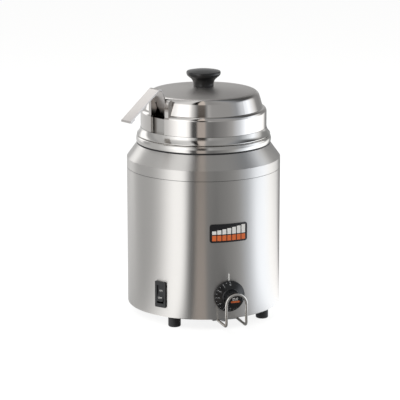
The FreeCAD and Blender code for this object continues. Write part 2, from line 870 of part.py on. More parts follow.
def make_cord_inlet():
    """Flanged bushing through the wrapper at the back, with its ring nut."""
    bore, radius, flange = size("inlet_bore"), size("inlet_radius"), size("inlet_flange")
    outside = body_radius + size("seat_gap")
    back, front = outside - size("inlet_depth"), outside + size("inlet_flange_height")
    edge, mouth = size("inlet_flange_round"), size("inlet_mouth_round")
    bushing = revolved([
        (bore, back), (radius, back), (radius, outside), (flange, outside), (flange, front - edge),
        Bulge(edge, -1), (flange - edge, front), (bore + mouth, front), Bulge(mouth, 1),
        (bore, front - mouth)])
    bushing.Placement = inlet_place
    keep(bushing, "cord_bushing")
    height = size("inlet_nut_height")
    ring_place = inlet_place * moved(0, 0, body_inner - size("inlet_nut_gap") - height)
    keep(nut(size("inlet_nut_flats"), height, radius + size("press_gap"), ring_place), "cord_bushing_nut")


def make_leads():
    """Inner wiring, from the supply block through the switch, thermostat and cut-out."""
    blade_end = switch_back - size("switch_blade_length")
    switch_low, switch_high = (switch_place.multVec(point(0, side * size("switch_blade_rise"), blade_end))
                               for side in SIDES)
    inward = -at_bearing(9, size("switch_angle"))
    left_blade, right_blade = (dial_place.multVec(point(
        side * size("thermostat_blade_pitch") / 2, size("thermostat_blade_rise"), thermostat_blade_end))
        for side in SIDES)
    leg_left, leg_right = (at_bearing(size("element_circle"), side * ELEMENT_GAP_ANGLE / 2, element_foot)
                           for side in SIDES)
    down = Vector(0, 0, -7)
    live = point(-size("block_socket_pitch"), size("block_place") - size("block_depth") / 2,
                 base_top + size("block_height") / 2)
    earth = live + X_AXIS * float(size("block_socket_pitch"))
    neutral = earth + X_AXIS * float(size("block_socket_pitch"))
    cutout = point(0, size("cutout_place"), cutout_bottom)
    cutout_in, cutout_out = cutout + Vector(-4, 0, 0), cutout + Vector(4, 0, 0)
    earth_screw = point(0, size("earth_place") + size("screw_head_radius") + size("press_gap"),
                        base_top + size("washer_height") + size("lead_radius"))
    routes = {
        "line_lead": [live, live + Vector(0, -12, 0), Vector(-18, 26, 25), Vector(-31, 11, 28),
                      Vector(-38, -8, 32), switch_low + inward, switch_low],
        "switch_lead": [switch_high, switch_high + inward, Vector(-30, -28, 54), Vector(-16, -32, 53),
                        left_blade + Vector(0, 8.5, 0), left_blade],
        "heater_lead": [right_blade, right_blade + Vector(0, 7.5, 0), right_blade + Vector(4, 12.5, -5),
                        right_blade + Vector(9, 8.5, -8), leg_right + down, leg_right],
        "return_lead": [leg_left, leg_left + down, Vector(-19, -38, 42), Vector(-17, -20, 44),
                        Vector(-12, 2, 47), Vector(-6, 18, 50), cutout_in + Vector(0, 0, -6), cutout_in],
        "neutral_lead": [cutout_out, cutout_out + Vector(0, 0, -9), Vector(8, 32, 42), Vector(10, 38, 30),
                         neutral + Vector(0, -9, 0), neutral],
        "earth_lead": [earth, earth + Vector(0, -6, 0), earth_screw + Vector(0.5, 8.5, 1),
                       earth_screw + Vector(0, 4.5, 0), earth_screw],
    }
    for label, route in routes.items():
        keep(tube(bent_path(route, even_bends(route)), size("lead_radius")), label)


# Dial and its guard
def make_guard():
    """Bent wire hoop in front of the dial, clamped under the body."""
    half, reach, wire = (float(size(name)) for name in ("guard_half_width", "guard_reach", "wire_radius"))
    low = float(body_bottom) - wire
    spring = float(size("guard_top")) - half
    inner = float(size("guard_inner_end"))
    runs = [[Vector(side * half, -inner, low), Vector(side * half, -reach, low),
             Vector(side * half, -reach, spring)] for side in SIDES]
    bend = [float(size("guard_foot_bend"))]
    left, right = bent_path(runs[0], bend), bent_path(runs[1][::-1], bend)
    arch = Part.Arc(runs[0][-1], Vector(0, -reach, spring + half), runs[1][-1]).toShape()
    keep(tube(Part.Wire(left.Edges + [arch] + right.Edges), wire), "dial_guard")

    clamp_bottom = low - float(size("clamp_drop"))
    plate = box((half + float(size("clamp_side"))) * 2, size("clamp_depth"), size("clamp_height"),
                (0, 0, clamp_bottom), clamp_place)
    along_wire = Rotation(X_AXIS, 90)
    grooves = [cylinder(wire + float(size("press_gap")), reach - inner, placement=Placement(
        Vector(side * half, -inner + CUT_PAST, low), along_wire)) for side in SIDES]
    hole = cylinder(screw_hole, 4 * CUT_PAST, (0, 0, clamp_bottom - CUT_PAST), clamp_place)
    keep(cut(plate, hole, *grooves), "guard_clamp")
    seat = clamp_place * moved(0, 0, clamp_bottom)
    keep(screw(base_top + size("screw_end") - clamp_bottom, seat), "guard_clamp_screw")
    keep(nut(size("nut_flats"), size("nut_height"), screw_bite, clamp_place * moved(0, 0, base_top)),
         "guard_clamp_nut")


def make_thermostat_shaft():
    """Shaft with a flat at its front end."""
    radius, flat = size("shaft_radius"), size("shaft_flat")
    start = thermostat_face - size("shaft_inner_depth")
    end = size("dial_front") - size("shaft_front_drop")
    rod = cylinder(radius, end - start, (0, 0, start), dial_place)
    flat_start = body_radius + size("shaft_flat_start")
    notch = box(radius * 2, radius, end - start, (0, radius * 1.5 - flat, flat_start), dial_place)
    keep(cut(rod, notch), "thermostat_shaft")


def make_dial():
    """Skirted, fluted knob and the cap in its face."""
    radius, clearance = size("shaft_radius"), size("shaft_clearance")
    front, skirt, grip = size("dial_front"), size("dial_radius"), size("grip_radius")
    back = body_radius + size("dial_back_gap")
    boss, boss_back = size("dial_boss_radius"), body_radius + size("shaft_flat_start")
    edge, rim = size("dial_rim_round"), back + size("dial_rim_height")
    cap_floor, face = front - size("cap_thickness"), front - size("grip_face_drop")
    round_top = size("grip_edge_round")
    cap_radius = grip - size("cap_ring")
    grip_base = back + size("grip_base")
    body = revolved([
        (boss, boss_back), (boss, back + size("dial_boss_recess")), (skirt - size("dial_skirt_wall"), back),
        (skirt - edge, back), Bulge(edge, -1), (skirt, back + edge), (skirt, rim - edge), Bulge(edge, -1),
        (skirt - edge, rim), (grip + size("grip_base_flare"), back + size("dial_skirt_height")),
        Bulge(size("grip_base_round"), 1), (grip, grip_base), (grip, face - round_top), Bulge(round_top, -1),
        (grip - round_top, face), (cap_radius, face), (cap_radius, cap_floor), (0, cap_floor),
        (0, boss_back)])
    depth = front - size("shaft_front_drop") + size("fit_gap") - boss_back
    bore = cylinder(radius + clearance, depth + CUT_PAST, (0, 0, boss_back - CUT_PAST))
    key_low = radius - size("shaft_flat") + clearance
    key = box(radius * 3, radius, depth + 2 * CUT_PAST, (0, key_low + radius / 2, boss_back - 2 * CUT_PAST))
    flute_circle = float(grip + size("grip_flute_offset"))
    flutes = [cylinder(size("grip_flute_radius"), front - grip_base,
                       at_bearing(flute_circle, 360 / GRIP_FLUTE_COUNT * (number + 0.5), grip_base + 1))
              for number in range(GRIP_FLUTE_COUNT)]
    knob = cut(body, cut(bore, key), *flutes)
    knob.Placement = dial_place
    keep(knob, "control_knob")

    cap_edge, outer = size("cap_edge_round"), cap_radius - size("press_gap")
    cap = revolved([(0, cap_floor), (outer, cap_floor), (outer, front - cap_edge), Bulge(cap_edge, -1),
                    (outer - cap_edge, front), (0, front)])
    cap.Placement = dial_place
    keep(cap, "knob_cap")


# Badge and index mark, thin plates that follow the wrapper
def curved_plate(name):
    """A rounded plate on the front of the wrapper."""
    width, height, level = (size(f"{name}_{part}") for part in ("width", "height", "level"))
    inner = body_radius + size("film_gap")
    outer = inner + size(f"{name}_thickness")
    low, high = level - height, level + height
    ring = revolved([(inner, low), (outer, low), (outer, high), (inner, high)])
    block = padded(rounded_box(width, height, size(f"{name}_corner"), level), body_radius * 3)
    front_half = box(body_radius * 2, body_radius, height * 2, (0, -body_radius, low))
    return common(common(ring, block), front_half)


def make_badge_and_mark():
    """Badge plate and the dial's index mark."""
    keep(curved_plate("badge"), "badge_plate")
    keep(curved_plate("mark"), "index_mark")


# Rocker switch
def make_switch_housing():
    """Bezel and body with a well for the rocker, its pin and the terminals behind."""
    seat = body_radius + size("press_gap")
    front = seat + size("bezel_thickness")
    bezel = padded(rounded_box(size("bezel_width"), size("bezel_height"), size("bezel_corner")),
                   size("bezel_thickness"), role="XY_Plane", centred=False)
    bezel.Placement = switch_place * moved(0, 0, seat)
    case = box(size("switch_body_width"), size("switch_body_height"), seat - switch_back,
               (0, 0, switch_back), switch_place)
    well_floor = rocker_pivot - size("rocker_well_depth")
    well = box(size("rocker_width") + size("rocker_well_side") * 2,
               (size("rocker_half_height") + size("rocker_well_end")) * 2,
               front - well_floor + CUT_PAST, (0, 0, well_floor), switch_place)
    pin_radius = size("rocker_pin_radius")
    pin_length = size("switch_body_width") - size("rocker_pin_inset") * 2
    pin_place = switch_place * Placement(point(0, 0, rocker_pivot), Rotation(Y_AXIS, 90)) \
        * moved(0, 0, -pin_length / 2)
    pin_hole = cylinder(pin_radius + size("film_gap"), pin_length, placement=pin_place)
    keep(cut(fused(bezel, case), well, pin_hole), "switch_housing")
    keep(cylinder(pin_radius, pin_length, placement=pin_place), "rocker_pin")
    length, rise = size("switch_blade_length"), size("switch_blade_rise")
    blades = [box(size("blade_width"), size("blade_thickness"), length,
                  (0, side * rise, switch_back - length), switch_place) for side in SIDES]
    keep(group(*blades), "switch_terminals")


def make_switch_rocker():
    """Rocker on its pin, stored with its upper end pressed in."""
    end = size("rocker_half_height")
    low_end, keel = end - size("rocker_end_inset"), size("rocker_keel")
    tip, shoulder = size("rocker_tip"), size("rocker_shoulder")
    profile = padded([
        (size("rocker_crest"), 0), (tip, end), (shoulder, low_end), (-keel, keel), (-keel, -keel),
        (shoulder, -low_end), (tip, -end)], size("rocker_width"), role="XY_Plane")
    bore_radius = size("rocker_pin_radius") + size("shaft_clearance")
    bore_length = size("rocker_width") + 2 * CUT_PAST
    bore = cylinder(bore_radius, bore_length, (0, 0, -bore_length / 2))
    rocker = cut(profile, bore)
    pivot = switch_place * moved(0, 0, rocker_pivot)
    tilt = Rotation(X_AXIS, -float(size("rocker_tilt")))
    rocker.Placement = pivot * Placement(Vector(), tilt * Rotation(Y_AXIS, -90))
    keep(rocker, "switch_rocker")


# Jar
def make_jar():
    """Drawn jar and the spun collar that carries it on the vessel's rim."""
    corner, floor, rim = size("jar_corner"), size("jar_floor"), size("jar_rim_top")
    inside, lip = jar_radius - sheet_wall, sheet_wall / 2
    keep(revolved([
        (0, floor), (jar_radius - corner, floor), Bulge(corner, -1), (jar_radius, floor + corner),
        (jar_radius, rim - lip), Bulge(lip, -1), (jar_radius - lip, rim), Bulge(lip, -1), (inside, rim - lip),
        (inside, floor + corner), Bulge(corner - sheet_wall, 1), (jar_radius - corner, floor + sheet_wall),
        (0, floor + sheet_wall)]), "jar")

    inner = jar_radius + size("film_gap")
    outer, ledge, roll = size("collar_radius"), size("collar_ledge_radius"), size("collar_roll")
    sleeve_bottom, under = collar_top - size("collar_sleeve"), collar_top - sheet_wall
    keep(revolved([
        (inner, sleeve_bottom), (inner + sheet_wall, sleeve_bottom), (inner + sheet_wall, under),
        (ledge - sheet_wall, under), (outer - size("collar_fold"), collar_bottom + sheet_wall),
        (well_outer, collar_bottom + sheet_wall), (well_outer, collar_bottom), (outer - roll, collar_bottom),
        Bulge(roll, -1), (outer, collar_bottom + roll), Bulge(size("collar_flare"), 1), (ledge, collar_top),
        (inner, collar_top)]), "jar_collar")


# Lid
def lid_wall_inset(height_above_ledge):
    """How far the lid's wall has leaned in at a height above its ledge."""
    lean = (size("lid_wall_radius") - size("lid_crown_radius")) / size("lid_wall_height")
    return lean * height_above_ledge


def lid_cheeks():
    """The raised uprights that frame the notch, from the ledge to the crown."""
    reach, depth, top_round = size("cheek_reach"), size("cheek_depth"), size("cheek_round")
    top = crown_level - size("cheek_top_drop")
    form = revolved([
        (0, ledge_level), (reach, ledge_level), (reach, top - top_round), Bulge(top_round, -1),
        (reach - top_round, top), (0, top)])
    uprights = []
    for side in SIDES:
        upright = padded(rounded_box(size("cheek_width"), depth, size("cheek_corner")), top - ledge_level,
                         role="XY_Plane", centred=False)
        upright.Placement = moved(side * (size("notch_width") + size("cheek_width")) / 2, depth / 2 - reach,
                                  ledge_level)
        uprights.append(upright)
    return common(form, fused(*uprights))


def make_lid():
    """Stepped lid with a domed crown and a notch for the ladle, its edges turned in."""
    skirt, ledge_round = size("skirt_radius"), size("ledge_round")
    skirt_inner = skirt - sheet_wall
    wall = size("lid_wall_radius")
    crown_round, side_drop = size("crown_round"), size("crown_side_drop")
    crown_edge = size("lid_crown_radius") - size("crown_edge_inset")
    dome = dome_radius(crown_edge, size("crown_rise"))
    crown_side = crown_level - side_drop
    side_radius = size("lid_crown_radius") + lid_wall_inset(side_drop)
    outside = [
        (0, lid_centre), Bulge(dome, 1), (crown_edge, crown_level), Bulge(crown_round, 1),
        (side_radius, crown_side), (wall, ledge_top), Bulge(ledge_round, 1), (skirt, ledge_level),
        (skirt, skirt_bottom)]
    form = revolved([*outside, (0, skirt_bottom)])
    shell = revolved([
        *outside, (skirt_inner, skirt_bottom), (skirt_inner, ledge_level),
        Bulge(ledge_round - sheet_wall, -1), (wall, ledge_top - sheet_wall),
        (wall - sheet_wall, ledge_top - sheet_wall), (side_radius - sheet_wall, crown_side),
        Bulge(crown_round, -1), (crown_edge, crown_level - sheet_wall), Bulge(dome, -1),
        (0, lid_centre - sheet_wall)])
    width, deep_cut = size("notch_width"), size("notch_cut_depth")
    notch_top = crown_level - size("notch_top_margin")
    slot_bottom = skirt_bottom - CUT_PAST
    slot = box(width, deep_cut, notch_top - slot_bottom, (0, -skirt, slot_bottom))
    screw_bore = cylinder(screw_hole, 2 * CUT_PAST, (0, 0, lid_centre - CUT_PAST))

    turned_in = size("notch_return")
    deep = wall - turned_in - sheet_wall
    lean_in = lid_wall_inset(notch_top - ledge_top)
    step = size("jar_rim_top") + size("notch_rim_clearance")
    band = revolved([
        (skirt_inner - turned_in, skirt_bottom), (skirt, skirt_bottom), (skirt, ledge_level),
        Bulge(ledge_round, -1), (wall, ledge_top), (wall - lean_in, notch_top), (deep - lean_in, notch_top),
        (deep, ledge_top), (deep, step), (skirt_inner - turned_in, step)])
    edges = [box(sheet_wall, deep_cut, notch_top - skirt_bottom,
                 (side * (width + sheet_wall) / 2, -skirt, skirt_bottom)) for side in SIDES]
    lid = fused(cut(shell, slot, screw_bore), common(form, common(band, fused(*edges))), lid_cheeks())
    lid.Placement = turned(size("notch_angle"))
    keep(lid, "lid")


def make_lid_knob():
    """Mushroom knob, with the washer and screw that hold it from inside."""
    radius, neck = size("lid_knob_radius"), size("lid_knob_neck")
    top = lid_centre + size("lid_knob_height")
    socket = lid_centre + size("lid_knob_socket")
    edge_inset, rise = size("lid_knob_edge_inset"), size("lid_knob_top_rise")
    edge = top - rise
    keep(revolved([
        (screw_bite, lid_centre), (neck, lid_centre), (neck, lid_centre + size("lid_knob_neck_height")),
        Bulge(size("lid_knob_flare"), 1),
        (size("lid_knob_waist"), lid_centre + size("lid_knob_waist_height")),
        (radius - size("lid_knob_rim_inset"), lid_centre + size("lid_knob_rim_start")),
        Bulge(size("lid_knob_rim_round"), -1),
        (radius, edge - size("lid_knob_edge_drop")), Bulge(size("lid_knob_edge_round"), -1),
        (radius - edge_inset, edge), Bulge(dome_radius(radius - edge_inset, rise), -1), (0, top),
        (0, socket), (screw_bite, socket)]), "lid_knob")

    height = size("washer_height")
    washer_bottom = lid_centre - sheet_wall - size("fit_gap") - height
    washer = cylinder(size("washer_radius"), height, (0, 0, washer_bottom))
    hole = cylinder(screw_hole, height + 2 * CUT_PAST, (0, 0, washer_bottom - CUT_PAST))
    keep(cut(washer, hole), "lid_knob_washer")
    keep(screw(socket - height - washer_bottom, moved(0, 0, washer_bottom)), "lid_knob_screw")


# Ladle
def ladle_point(along_strip, off_strip, along_grip=Size.of(0), off_grip=Size.of(0)):
    """Reach and height of a point given along and off the strip and the grip, from their corner."""
    lean, fall = size("strip_lean"), size("grip_drop")
    reach = size("apex_reach") - along_strip * sine(lean) + off_strip * cosine(lean)
    height = size("apex_height") - along_strip * cosine(lean) - off_strip * sine(lean)
    return (reach + along_grip * cosine(fall) + off_grip * sine(fall),
            height - along_grip * sine(fall) + off_grip * cosine(fall))


def grip_point(along_grip, off_grip):
    """Reach and height of a point on the grip."""
    return ladle_point(Size.of(0), Size.of(0), along_grip, off_grip)


def ladle_strip():
    """The handle: one strip bent over at the top, with a hemmed end."""
    half, bend = size("strip_thickness") / 2, size("grip_bend")
    half_turn = (90 - size("strip_lean") + size("grip_drop")) / 2
    setback = bend * sine(half_turn) / cosine(half_turn)
    length, grip = size("strip_length"), size("grip_length")
    hem_start = grip - size("hem_length")
    handle = padded([
        ladle_point(length, -half), ladle_point(setback, -half), Bulge(bend + half, 1),
        grip_point(setback, half), grip_point(grip, half), Bulge(half * 2, 1),
        grip_point(grip + half * 2, -half), Bulge(half * 2, 1), grip_point(grip, -half * 3),
        grip_point(hem_start, -half * 3), grip_point(hem_start, -half), grip_point(setback, -half),
        Bulge(bend - half, -1), ladle_point(setback, half), ladle_point(length, half)], size("strip_width"))
    handle.Placement = turned(-90)
    return handle


def make_ladle():
    """Bowl, strip handle and two rivets, in the plane of the notch."""
    lean, half = size("strip_lean"), size("strip_thickness") / 2
    sphere, wall, lip = size("bowl_sphere"), size("bowl_wall"), size("bowl_lip")
    inner = sphere - wall
    lip_out, lip_up = lip * sine(lean), lip * cosine(lean)
    spread, drop = sphere * cosine(lean), sphere * sine(lean)
    inner_spread, inner_drop = inner * cosine(lean), inner * sine(lean)
    bowl = revolved([
        (0, 0), Bulge(sphere, -1), (spread, sphere - drop), (spread + lip_out, sphere - drop + lip_up),
        (inner_spread + lip_out, sphere - inner_drop + lip_up), (inner_spread, sphere - inner_drop),
        Bulge(inner, 1), (0, wall)])
    seam_along = size("strip_length") - size("strip_tail")
    seam_out, seam_high = ladle_point(seam_along, -half - size("film_gap"))
    bowl.Placement = moved(0, spread - seam_out, seam_high + drop - sphere)

    across = Rotation(Z_AXIS, point(0, -cosine(lean), -sine(lean)))
    radius, head = size("rivet_radius"), size("rivet_head")
    grip_length = half * 2 + wall + size("rivet_slack")
    rivets, holes = [], []
    for number in range(2):
        lift = size("rivet_first") + size("rivet_pitch") * number
        out, high = ladle_point(seam_along - lift, half)
        place = Placement(point(0, -out, high), across)
        shank = cylinder(radius, grip_length, (0, 0, -grip_length), place)
        heads = [cylinder(size("rivet_head_radius"), head, (0, 0, start), place)
                 for start in (0, -grip_length - head)]
        rivets.append(fused(shank, *heads))
        holes.append(cylinder(radius + size("film_gap"), 3 * CUT_PAST, (0, 0, -2 * CUT_PAST), place))
    pieces = {"ladle_handle": cut(ladle_strip(), *holes), "ladle_bowl": cut(bowl, *holes),
              "ladle_rivets": group(*rivets)}
    for label, piece in pieces.items():
        piece.Placement = turned(size("ladle_angle"))
        keep(piece, label)


for make in (make_outer_wrapper, make_shoulder_shell, make_rim_gasket, make_water_vessel,
             make_insulation_jacket, make_base, make_feet, make_heater, make_high_limit, make_thermostat,
             make_feeler, make_supply_block, make_cord_inlet, make_leads, make_guard, make_thermostat_shaft,
             make_dial, make_badge_and_mark, make_switch_housing, make_switch_rocker, make_jar, make_lid,
             make_lid_knob, make_ladle):
    make()
doc.recompute()

# Check every object before anything is written
for obj in doc.Objects:
    if {"Invalid", "Error"} & set(obj.State):
        raise RuntimeError(f"{obj.Label} failed: {obj.State}")
for obj in subparts:
    if obj.Shape.isNull() or not obj.Shape.isValid():
        raise RuntimeError(f"{obj.Label} has no valid shape")

os.makedirs("parts", exist_ok=True)
for obj in subparts:
    obj.Shape.exportStep(f"parts/{obj.Label}.step")
    print(f"{obj.Label}: {len(obj.Shape.Solids)} solid(s), {obj.Shape.Volume:.0f} mm3")
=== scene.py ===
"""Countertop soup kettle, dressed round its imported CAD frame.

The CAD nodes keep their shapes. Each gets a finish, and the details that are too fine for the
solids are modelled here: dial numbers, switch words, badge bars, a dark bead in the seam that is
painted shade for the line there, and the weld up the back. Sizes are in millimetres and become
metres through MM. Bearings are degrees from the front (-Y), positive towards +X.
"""
import logging
import math
from contextlib import contextmanager
from dataclasses import dataclass
from enum import Enum
from typing import Any, Iterator, Sequence

import bpy
from mathutils import Matrix, Vector


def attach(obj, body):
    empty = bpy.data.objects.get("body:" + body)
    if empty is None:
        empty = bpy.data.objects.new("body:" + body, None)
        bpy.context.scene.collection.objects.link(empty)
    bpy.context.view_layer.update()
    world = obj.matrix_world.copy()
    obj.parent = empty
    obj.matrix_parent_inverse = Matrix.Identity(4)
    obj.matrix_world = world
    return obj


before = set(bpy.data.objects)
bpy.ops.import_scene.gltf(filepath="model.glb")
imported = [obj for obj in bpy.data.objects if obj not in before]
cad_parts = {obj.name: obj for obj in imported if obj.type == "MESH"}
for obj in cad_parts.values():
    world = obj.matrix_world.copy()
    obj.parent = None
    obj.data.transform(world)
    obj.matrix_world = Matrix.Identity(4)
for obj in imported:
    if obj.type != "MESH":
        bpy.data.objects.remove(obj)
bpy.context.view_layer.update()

MM = 0.001
UP = Vector((0.0, 0.0, 1.0))
log = logging.getLogger("soup_kettle")


class Body(Enum):
    """The CAD bodies that pieces ride on."""

    HOUSING = "housing"
    KNOB = "knob"
    ROCKER = "rocker"


class Grain(Enum):
    """Which way the polishing marks of a metal run."""

    AROUND = "around the upright axis"
    NONE = "no direction"


# Helpers for places and materials


def linear(hex_colour: str) -> tuple[float, float, float, float]:
    """Turn an sRGB hex colour into linear light.

    Args:
        hex_colour: Six hex digits after a hash.

    Returns:
        Red, green, blue and alpha.
    """
    parts = [int(hex_colour[i:i + 2], 16) / 255 for i in (1, 3, 5)]
    light = [c / 12.92 if c <= 0.04045 else ((c + 0.055) / 1.055) ** 2.4 for c in parts]
    return (light[0], light[1], light[2], 1.0)


def heading(bearing: float, rise: float = 0.0) -> Vector:
    """The way out from the axis at a bearing.

    Args:
        bearing: Degrees from the front.
        rise: Degrees above the horizon.

    Returns:
        A vector of length 1.
    """
    turn, lift = math.radians(bearing), math.radians(rise)
    return Vector((math.sin(turn) * math.cos(lift), -math.cos(turn) * math.cos(lift), math.sin(lift)))


def rightward(bearing: float) -> Vector:
    """The level way to the right, for someone who looks at the object from a bearing.

    Args:
        bearing: Degrees from the front.

    Returns:
        A vector of length 1.
    """
    turn = math.radians(bearing)
    return Vector((math.cos(turn), math.sin(turn), 0.0))


def add_node(tree: bpy.types.NodeTree, kind: str, settings: dict[str, Any] | None = None,
             inputs: dict[Any, Any] | None = None) -> bpy.types.Node:
    """Add a node with its settings, its constants and its links.

    Args:
        tree: The node tree.
        kind: The node's class name without its ShaderNode prefix.
        settings: Attributes of the node.
        inputs: Socket name or index to a value, or to an output socket to link.

    Returns:
        The new node.
    """
    node = tree.nodes.new("ShaderNode" + kind)
    for name, value in (settings or {}).items():
        setattr(node, name, value)
    for key, value in (inputs or {}).items():
        if isinstance(value, bpy.types.NodeSocket):
            tree.links.new(value, node.inputs[key])
        else:
            node.inputs[key].default_value = value
    return node


def fill_ramp(node: bpy.types.Node, stops: Sequence[tuple[float, Any]]) -> None:
    """Set a colour ramp's stops.

    Args:
        node: The ramp.
        stops: Place from 0 to 1 and a linear colour, in order.
    """
    elements = node.color_ramp.elements
    while len(elements) > 1:
        elements.remove(elements[-1])
    elements[0].position, elements[0].color = stops[0]
    for place, colour in stops[1:]:
        elements.new(place).color = colour


@dataclass(frozen=True)
class Finish:
    """A surface finish: what the material is and how light leaves it.

    The mottle is a faint, broad change of tone, and the texture a fine bump, each at a real size. A
    detail is how many finer octaves a pattern has, and the falloff how much of the last one each keeps.
    """

    name: str
    colour: str
    roughness: float
    metallic: float = 0.0
    coat: float = 0.0
    coat_roughness: float = 0.1
    mottle: float = 0.06
    mottle_size: float = 12.0
    mottle_detail: float = 3.0
    texture_size: float = 1.2
    texture_depth: float = 0.01
    texture_strength: float = 0.6
    texture_detail: float = 2.0
    falloff: float = 0.55
    roughness_spread: float = 0.05

    def build(self) -> bpy.types.Material:
        """Make the material, once.

        Returns:
            The material, under the finish's name.
        """
        made = bpy.data.materials.get(self.name)
        if made is not None:
            return made
        made = bpy.data.materials.new(self.name)
        made.use_nodes = True
        tree = made.node_tree
        tree.nodes.clear()
        place = add_node(tree, "TexCoord").outputs["Object"]
        shader = self.shader(tree, place)
        add_node(tree, "OutputMaterial", None, {"Surface": shader.outputs[0]})
        made.diffuse_color = linear(self.colour)
        made.metallic, made.roughness = self.metallic, self.roughness
        return made

    def pattern(self, tree: bpy.types.NodeTree, place: bpy.types.NodeSocket, period: float,
                detail: float) -> bpy.types.NodeSocket:
        """Make a cloudy pattern.

        Args:
            tree: The material's tree.
            place: Object coordinates.
            period: About how many millimetres a blotch is across.
            detail: How many finer octaves it has.

        Returns:
            The pattern, from 0 to 1.
        """
        noise = add_node(tree, "TexNoise", None, {
            "Vector": place, "Scale": 1 / (period * MM), "Detail": detail, "Roughness": self.falloff})
        return noise.outputs["Fac"]

    def tone(self, tree: bpy.types.NodeTree, fac: bpy.types.NodeSocket) -> bpy.types.NodeSocket:
        """Make the finish's colour, darker and lighter by its mottle.

        Args:
            tree: The material's tree.
            fac: The pattern that it follows, from 0 to 1.

        Returns:
            The colour.
        """
        base = linear(self.colour)
        low, high = ([min(1.0, c * (1 + sign * self.mottle)) for c in base[:3]] + [1.0] for sign in (-1, 1))
        mix = add_node(tree, "Mix", {"data_type": "RGBA"}, {"Factor": fac, "A": low, "B": high})
        return mix.outputs["Result"]

    def spread(self, tree: bpy.types.NodeTree, fac: bpy.types.NodeSocket) -> bpy.types.NodeSocket:
        """Make the finish's roughness, spread evenly by a pattern.

        Args:
            tree: The material's tree.
            fac: The pattern that it follows, from 0 to 1.

        Returns:
            The roughness.
        """
        reach = add_node(tree, "MapRange", None, {
            "Value": fac, "To Min": self.roughness - self.roughness_spread,
            "To Max": self.roughness + self.roughness_spread})
        return reach.outputs["Result"]

    def shader(self, tree: bpy.types.NodeTree, place: bpy.types.NodeSocket) -> bpy.types.Node:
        """Build the finish's shader.

        Args:
            tree: The material's tree.
            place: Object coordinates.

        Returns:
            The shader node.
        """
        broad = self.pattern(tree, place, self.mottle_size, self.mottle_detail)
        fine = self.pattern(tree, place, self.texture_size, self.texture_detail)
        bump = add_node(tree, "Bump", None, {
            "Height": fine, "Distance": self.texture_depth * MM, "Strength": self.texture_strength})
        return add_node(tree, "BsdfPrincipled", None, {
            "Base Color": self.tone(tree, broad), "Metallic": self.metallic,
            "Roughness": self.spread(tree, fine), "Coat Weight": self.coat,
            "Coat Roughness": self.coat_roughness, "Normal": bump.outputs["Normal"]})


# A quarter turn draws the highlight out across the polishing marks
ACROSS_THE_GRAIN = 0.25


@dataclass(frozen=True)
class GrainedMetal(Finish):
    """Metal with directional polishing marks, which draw a highlight out across them.

    The real marks are a few hundredths of a millimetre wide. They are drawn at grain_width so that
    they show in the picture. The length of a mark is measured at grain_radius from the axis. Where
    satin_above is set, the metal is satin from that level up, and fades to it over satin_fade.
    """

    metallic: float = 1.0
    mottle_detail: float = 2.0
    grain: Grain = Grain.AROUND
    anisotropy: float = 0.8
    grain_width: float = 0.9
    grain_length: float = 90.0
    grain_radius: float = 80.0
    grain_depth: float = 0.004
    grain_strength: float = 0.5
    grain_detail: float = 3.0
    grain_falloff: float = 0.6
    satin_above: float = 0.0
    satin_fade: float = 2.0
    satin_roughness: float = 0.0

    def spread(self, tree: bpy.types.NodeTree, fac: bpy.types.NodeSocket) -> bpy.types.NodeSocket:
        """Make the metal's roughness, with a satin zone above a level where the finish has one.

        Args:
            tree: The material's tree.
            fac: The pattern that it follows, from 0 to 1.

        Returns:
            The roughness.
        """
        plain = super().spread(tree, fac)
        if not self.satin_above:
            return plain
        place = add_node(tree, "TexCoord").outputs["Object"]
        level = add_node(tree, "SeparateXYZ", None, {"Vector": place}).outputs["Z"]
        zone = add_node(tree, "MapRange", None, {
            "Value": level, "From Min": (self.satin_above - self.satin_fade) * MM,
            "From Max": self.satin_above * MM})
        mix = add_node(tree, "Mix", {"data_type": "FLOAT"}, {
            "Factor": zone.outputs["Result"], "A": plain, "B": self.satin_roughness})
        return mix.outputs["Result"]

    def shader(self, tree: bpy.types.NodeTree, place: bpy.types.NodeSocket) -> bpy.types.Node:
        """Build the metal's shader, with its marks and the way they run.

        Args:
            tree: The material's tree.
            place: Object coordinates.

        Returns:
            The shader node.
        """
        parts = add_node(tree, "SeparateXYZ", None, {"Vector": place})
        around = add_node(tree, "VectorMath", {"operation": "CROSS_PRODUCT"}, {
            0: UP, 1: place}).outputs["Vector"]
        if self.grain is Grain.AROUND:
            angle = add_node(tree, "Math", {"operation": "ARCTAN2"}, {
                0: parts.outputs["Y"], 1: parts.outputs["X"]})
            flat = add_node(tree, "VectorMath", {"operation": "LENGTH"}, {0: around})
            level = add_node(tree, "Math", {"operation": "ADD"}, {
                0: parts.outputs["Z"], 1: flat.outputs["Value"]})
            turn = add_node(tree, "Math", {"operation": "MULTIPLY"}, {
                0: angle.outputs[0], 1: self.grain_radius / self.grain_length})
            rise = add_node(tree, "Math", {"operation": "MULTIPLY"}, {
                0: level.outputs[0], 1: 1 / (self.grain_width * MM)})
            lines = add_node(tree, "CombineXYZ", None, {"X": turn.outputs[0], "Y": rise.outputs[0]})
            marks = add_node(tree, "TexNoise", None, {
                "Vector": lines.outputs[0], "Scale": 1.0, "Detail": self.grain_detail,
                "Roughness": self.grain_falloff}).outputs["Fac"]
        else:
            marks = self.pattern(tree, place, self.grain_width, self.grain_detail)
        broad = self.pattern(tree, place, self.mottle_size, self.mottle_detail)
        bump = add_node(tree, "Bump", None, {
            "Height": marks, "Distance": self.grain_depth * MM, "Strength": self.grain_strength})
        inputs = {
            "Base Color": self.tone(tree, broad), "Metallic": self.metallic,
            "Roughness": self.spread(tree, marks), "Normal": bump.outputs["Normal"]}
        if self.grain is Grain.AROUND:
            inputs |= {
                "Anisotropic": self.anisotropy, "Anisotropic Rotation": ACROSS_THE_GRAIN, "Tangent": around}
        return add_node(tree, "BsdfPrincipled", None, inputs)


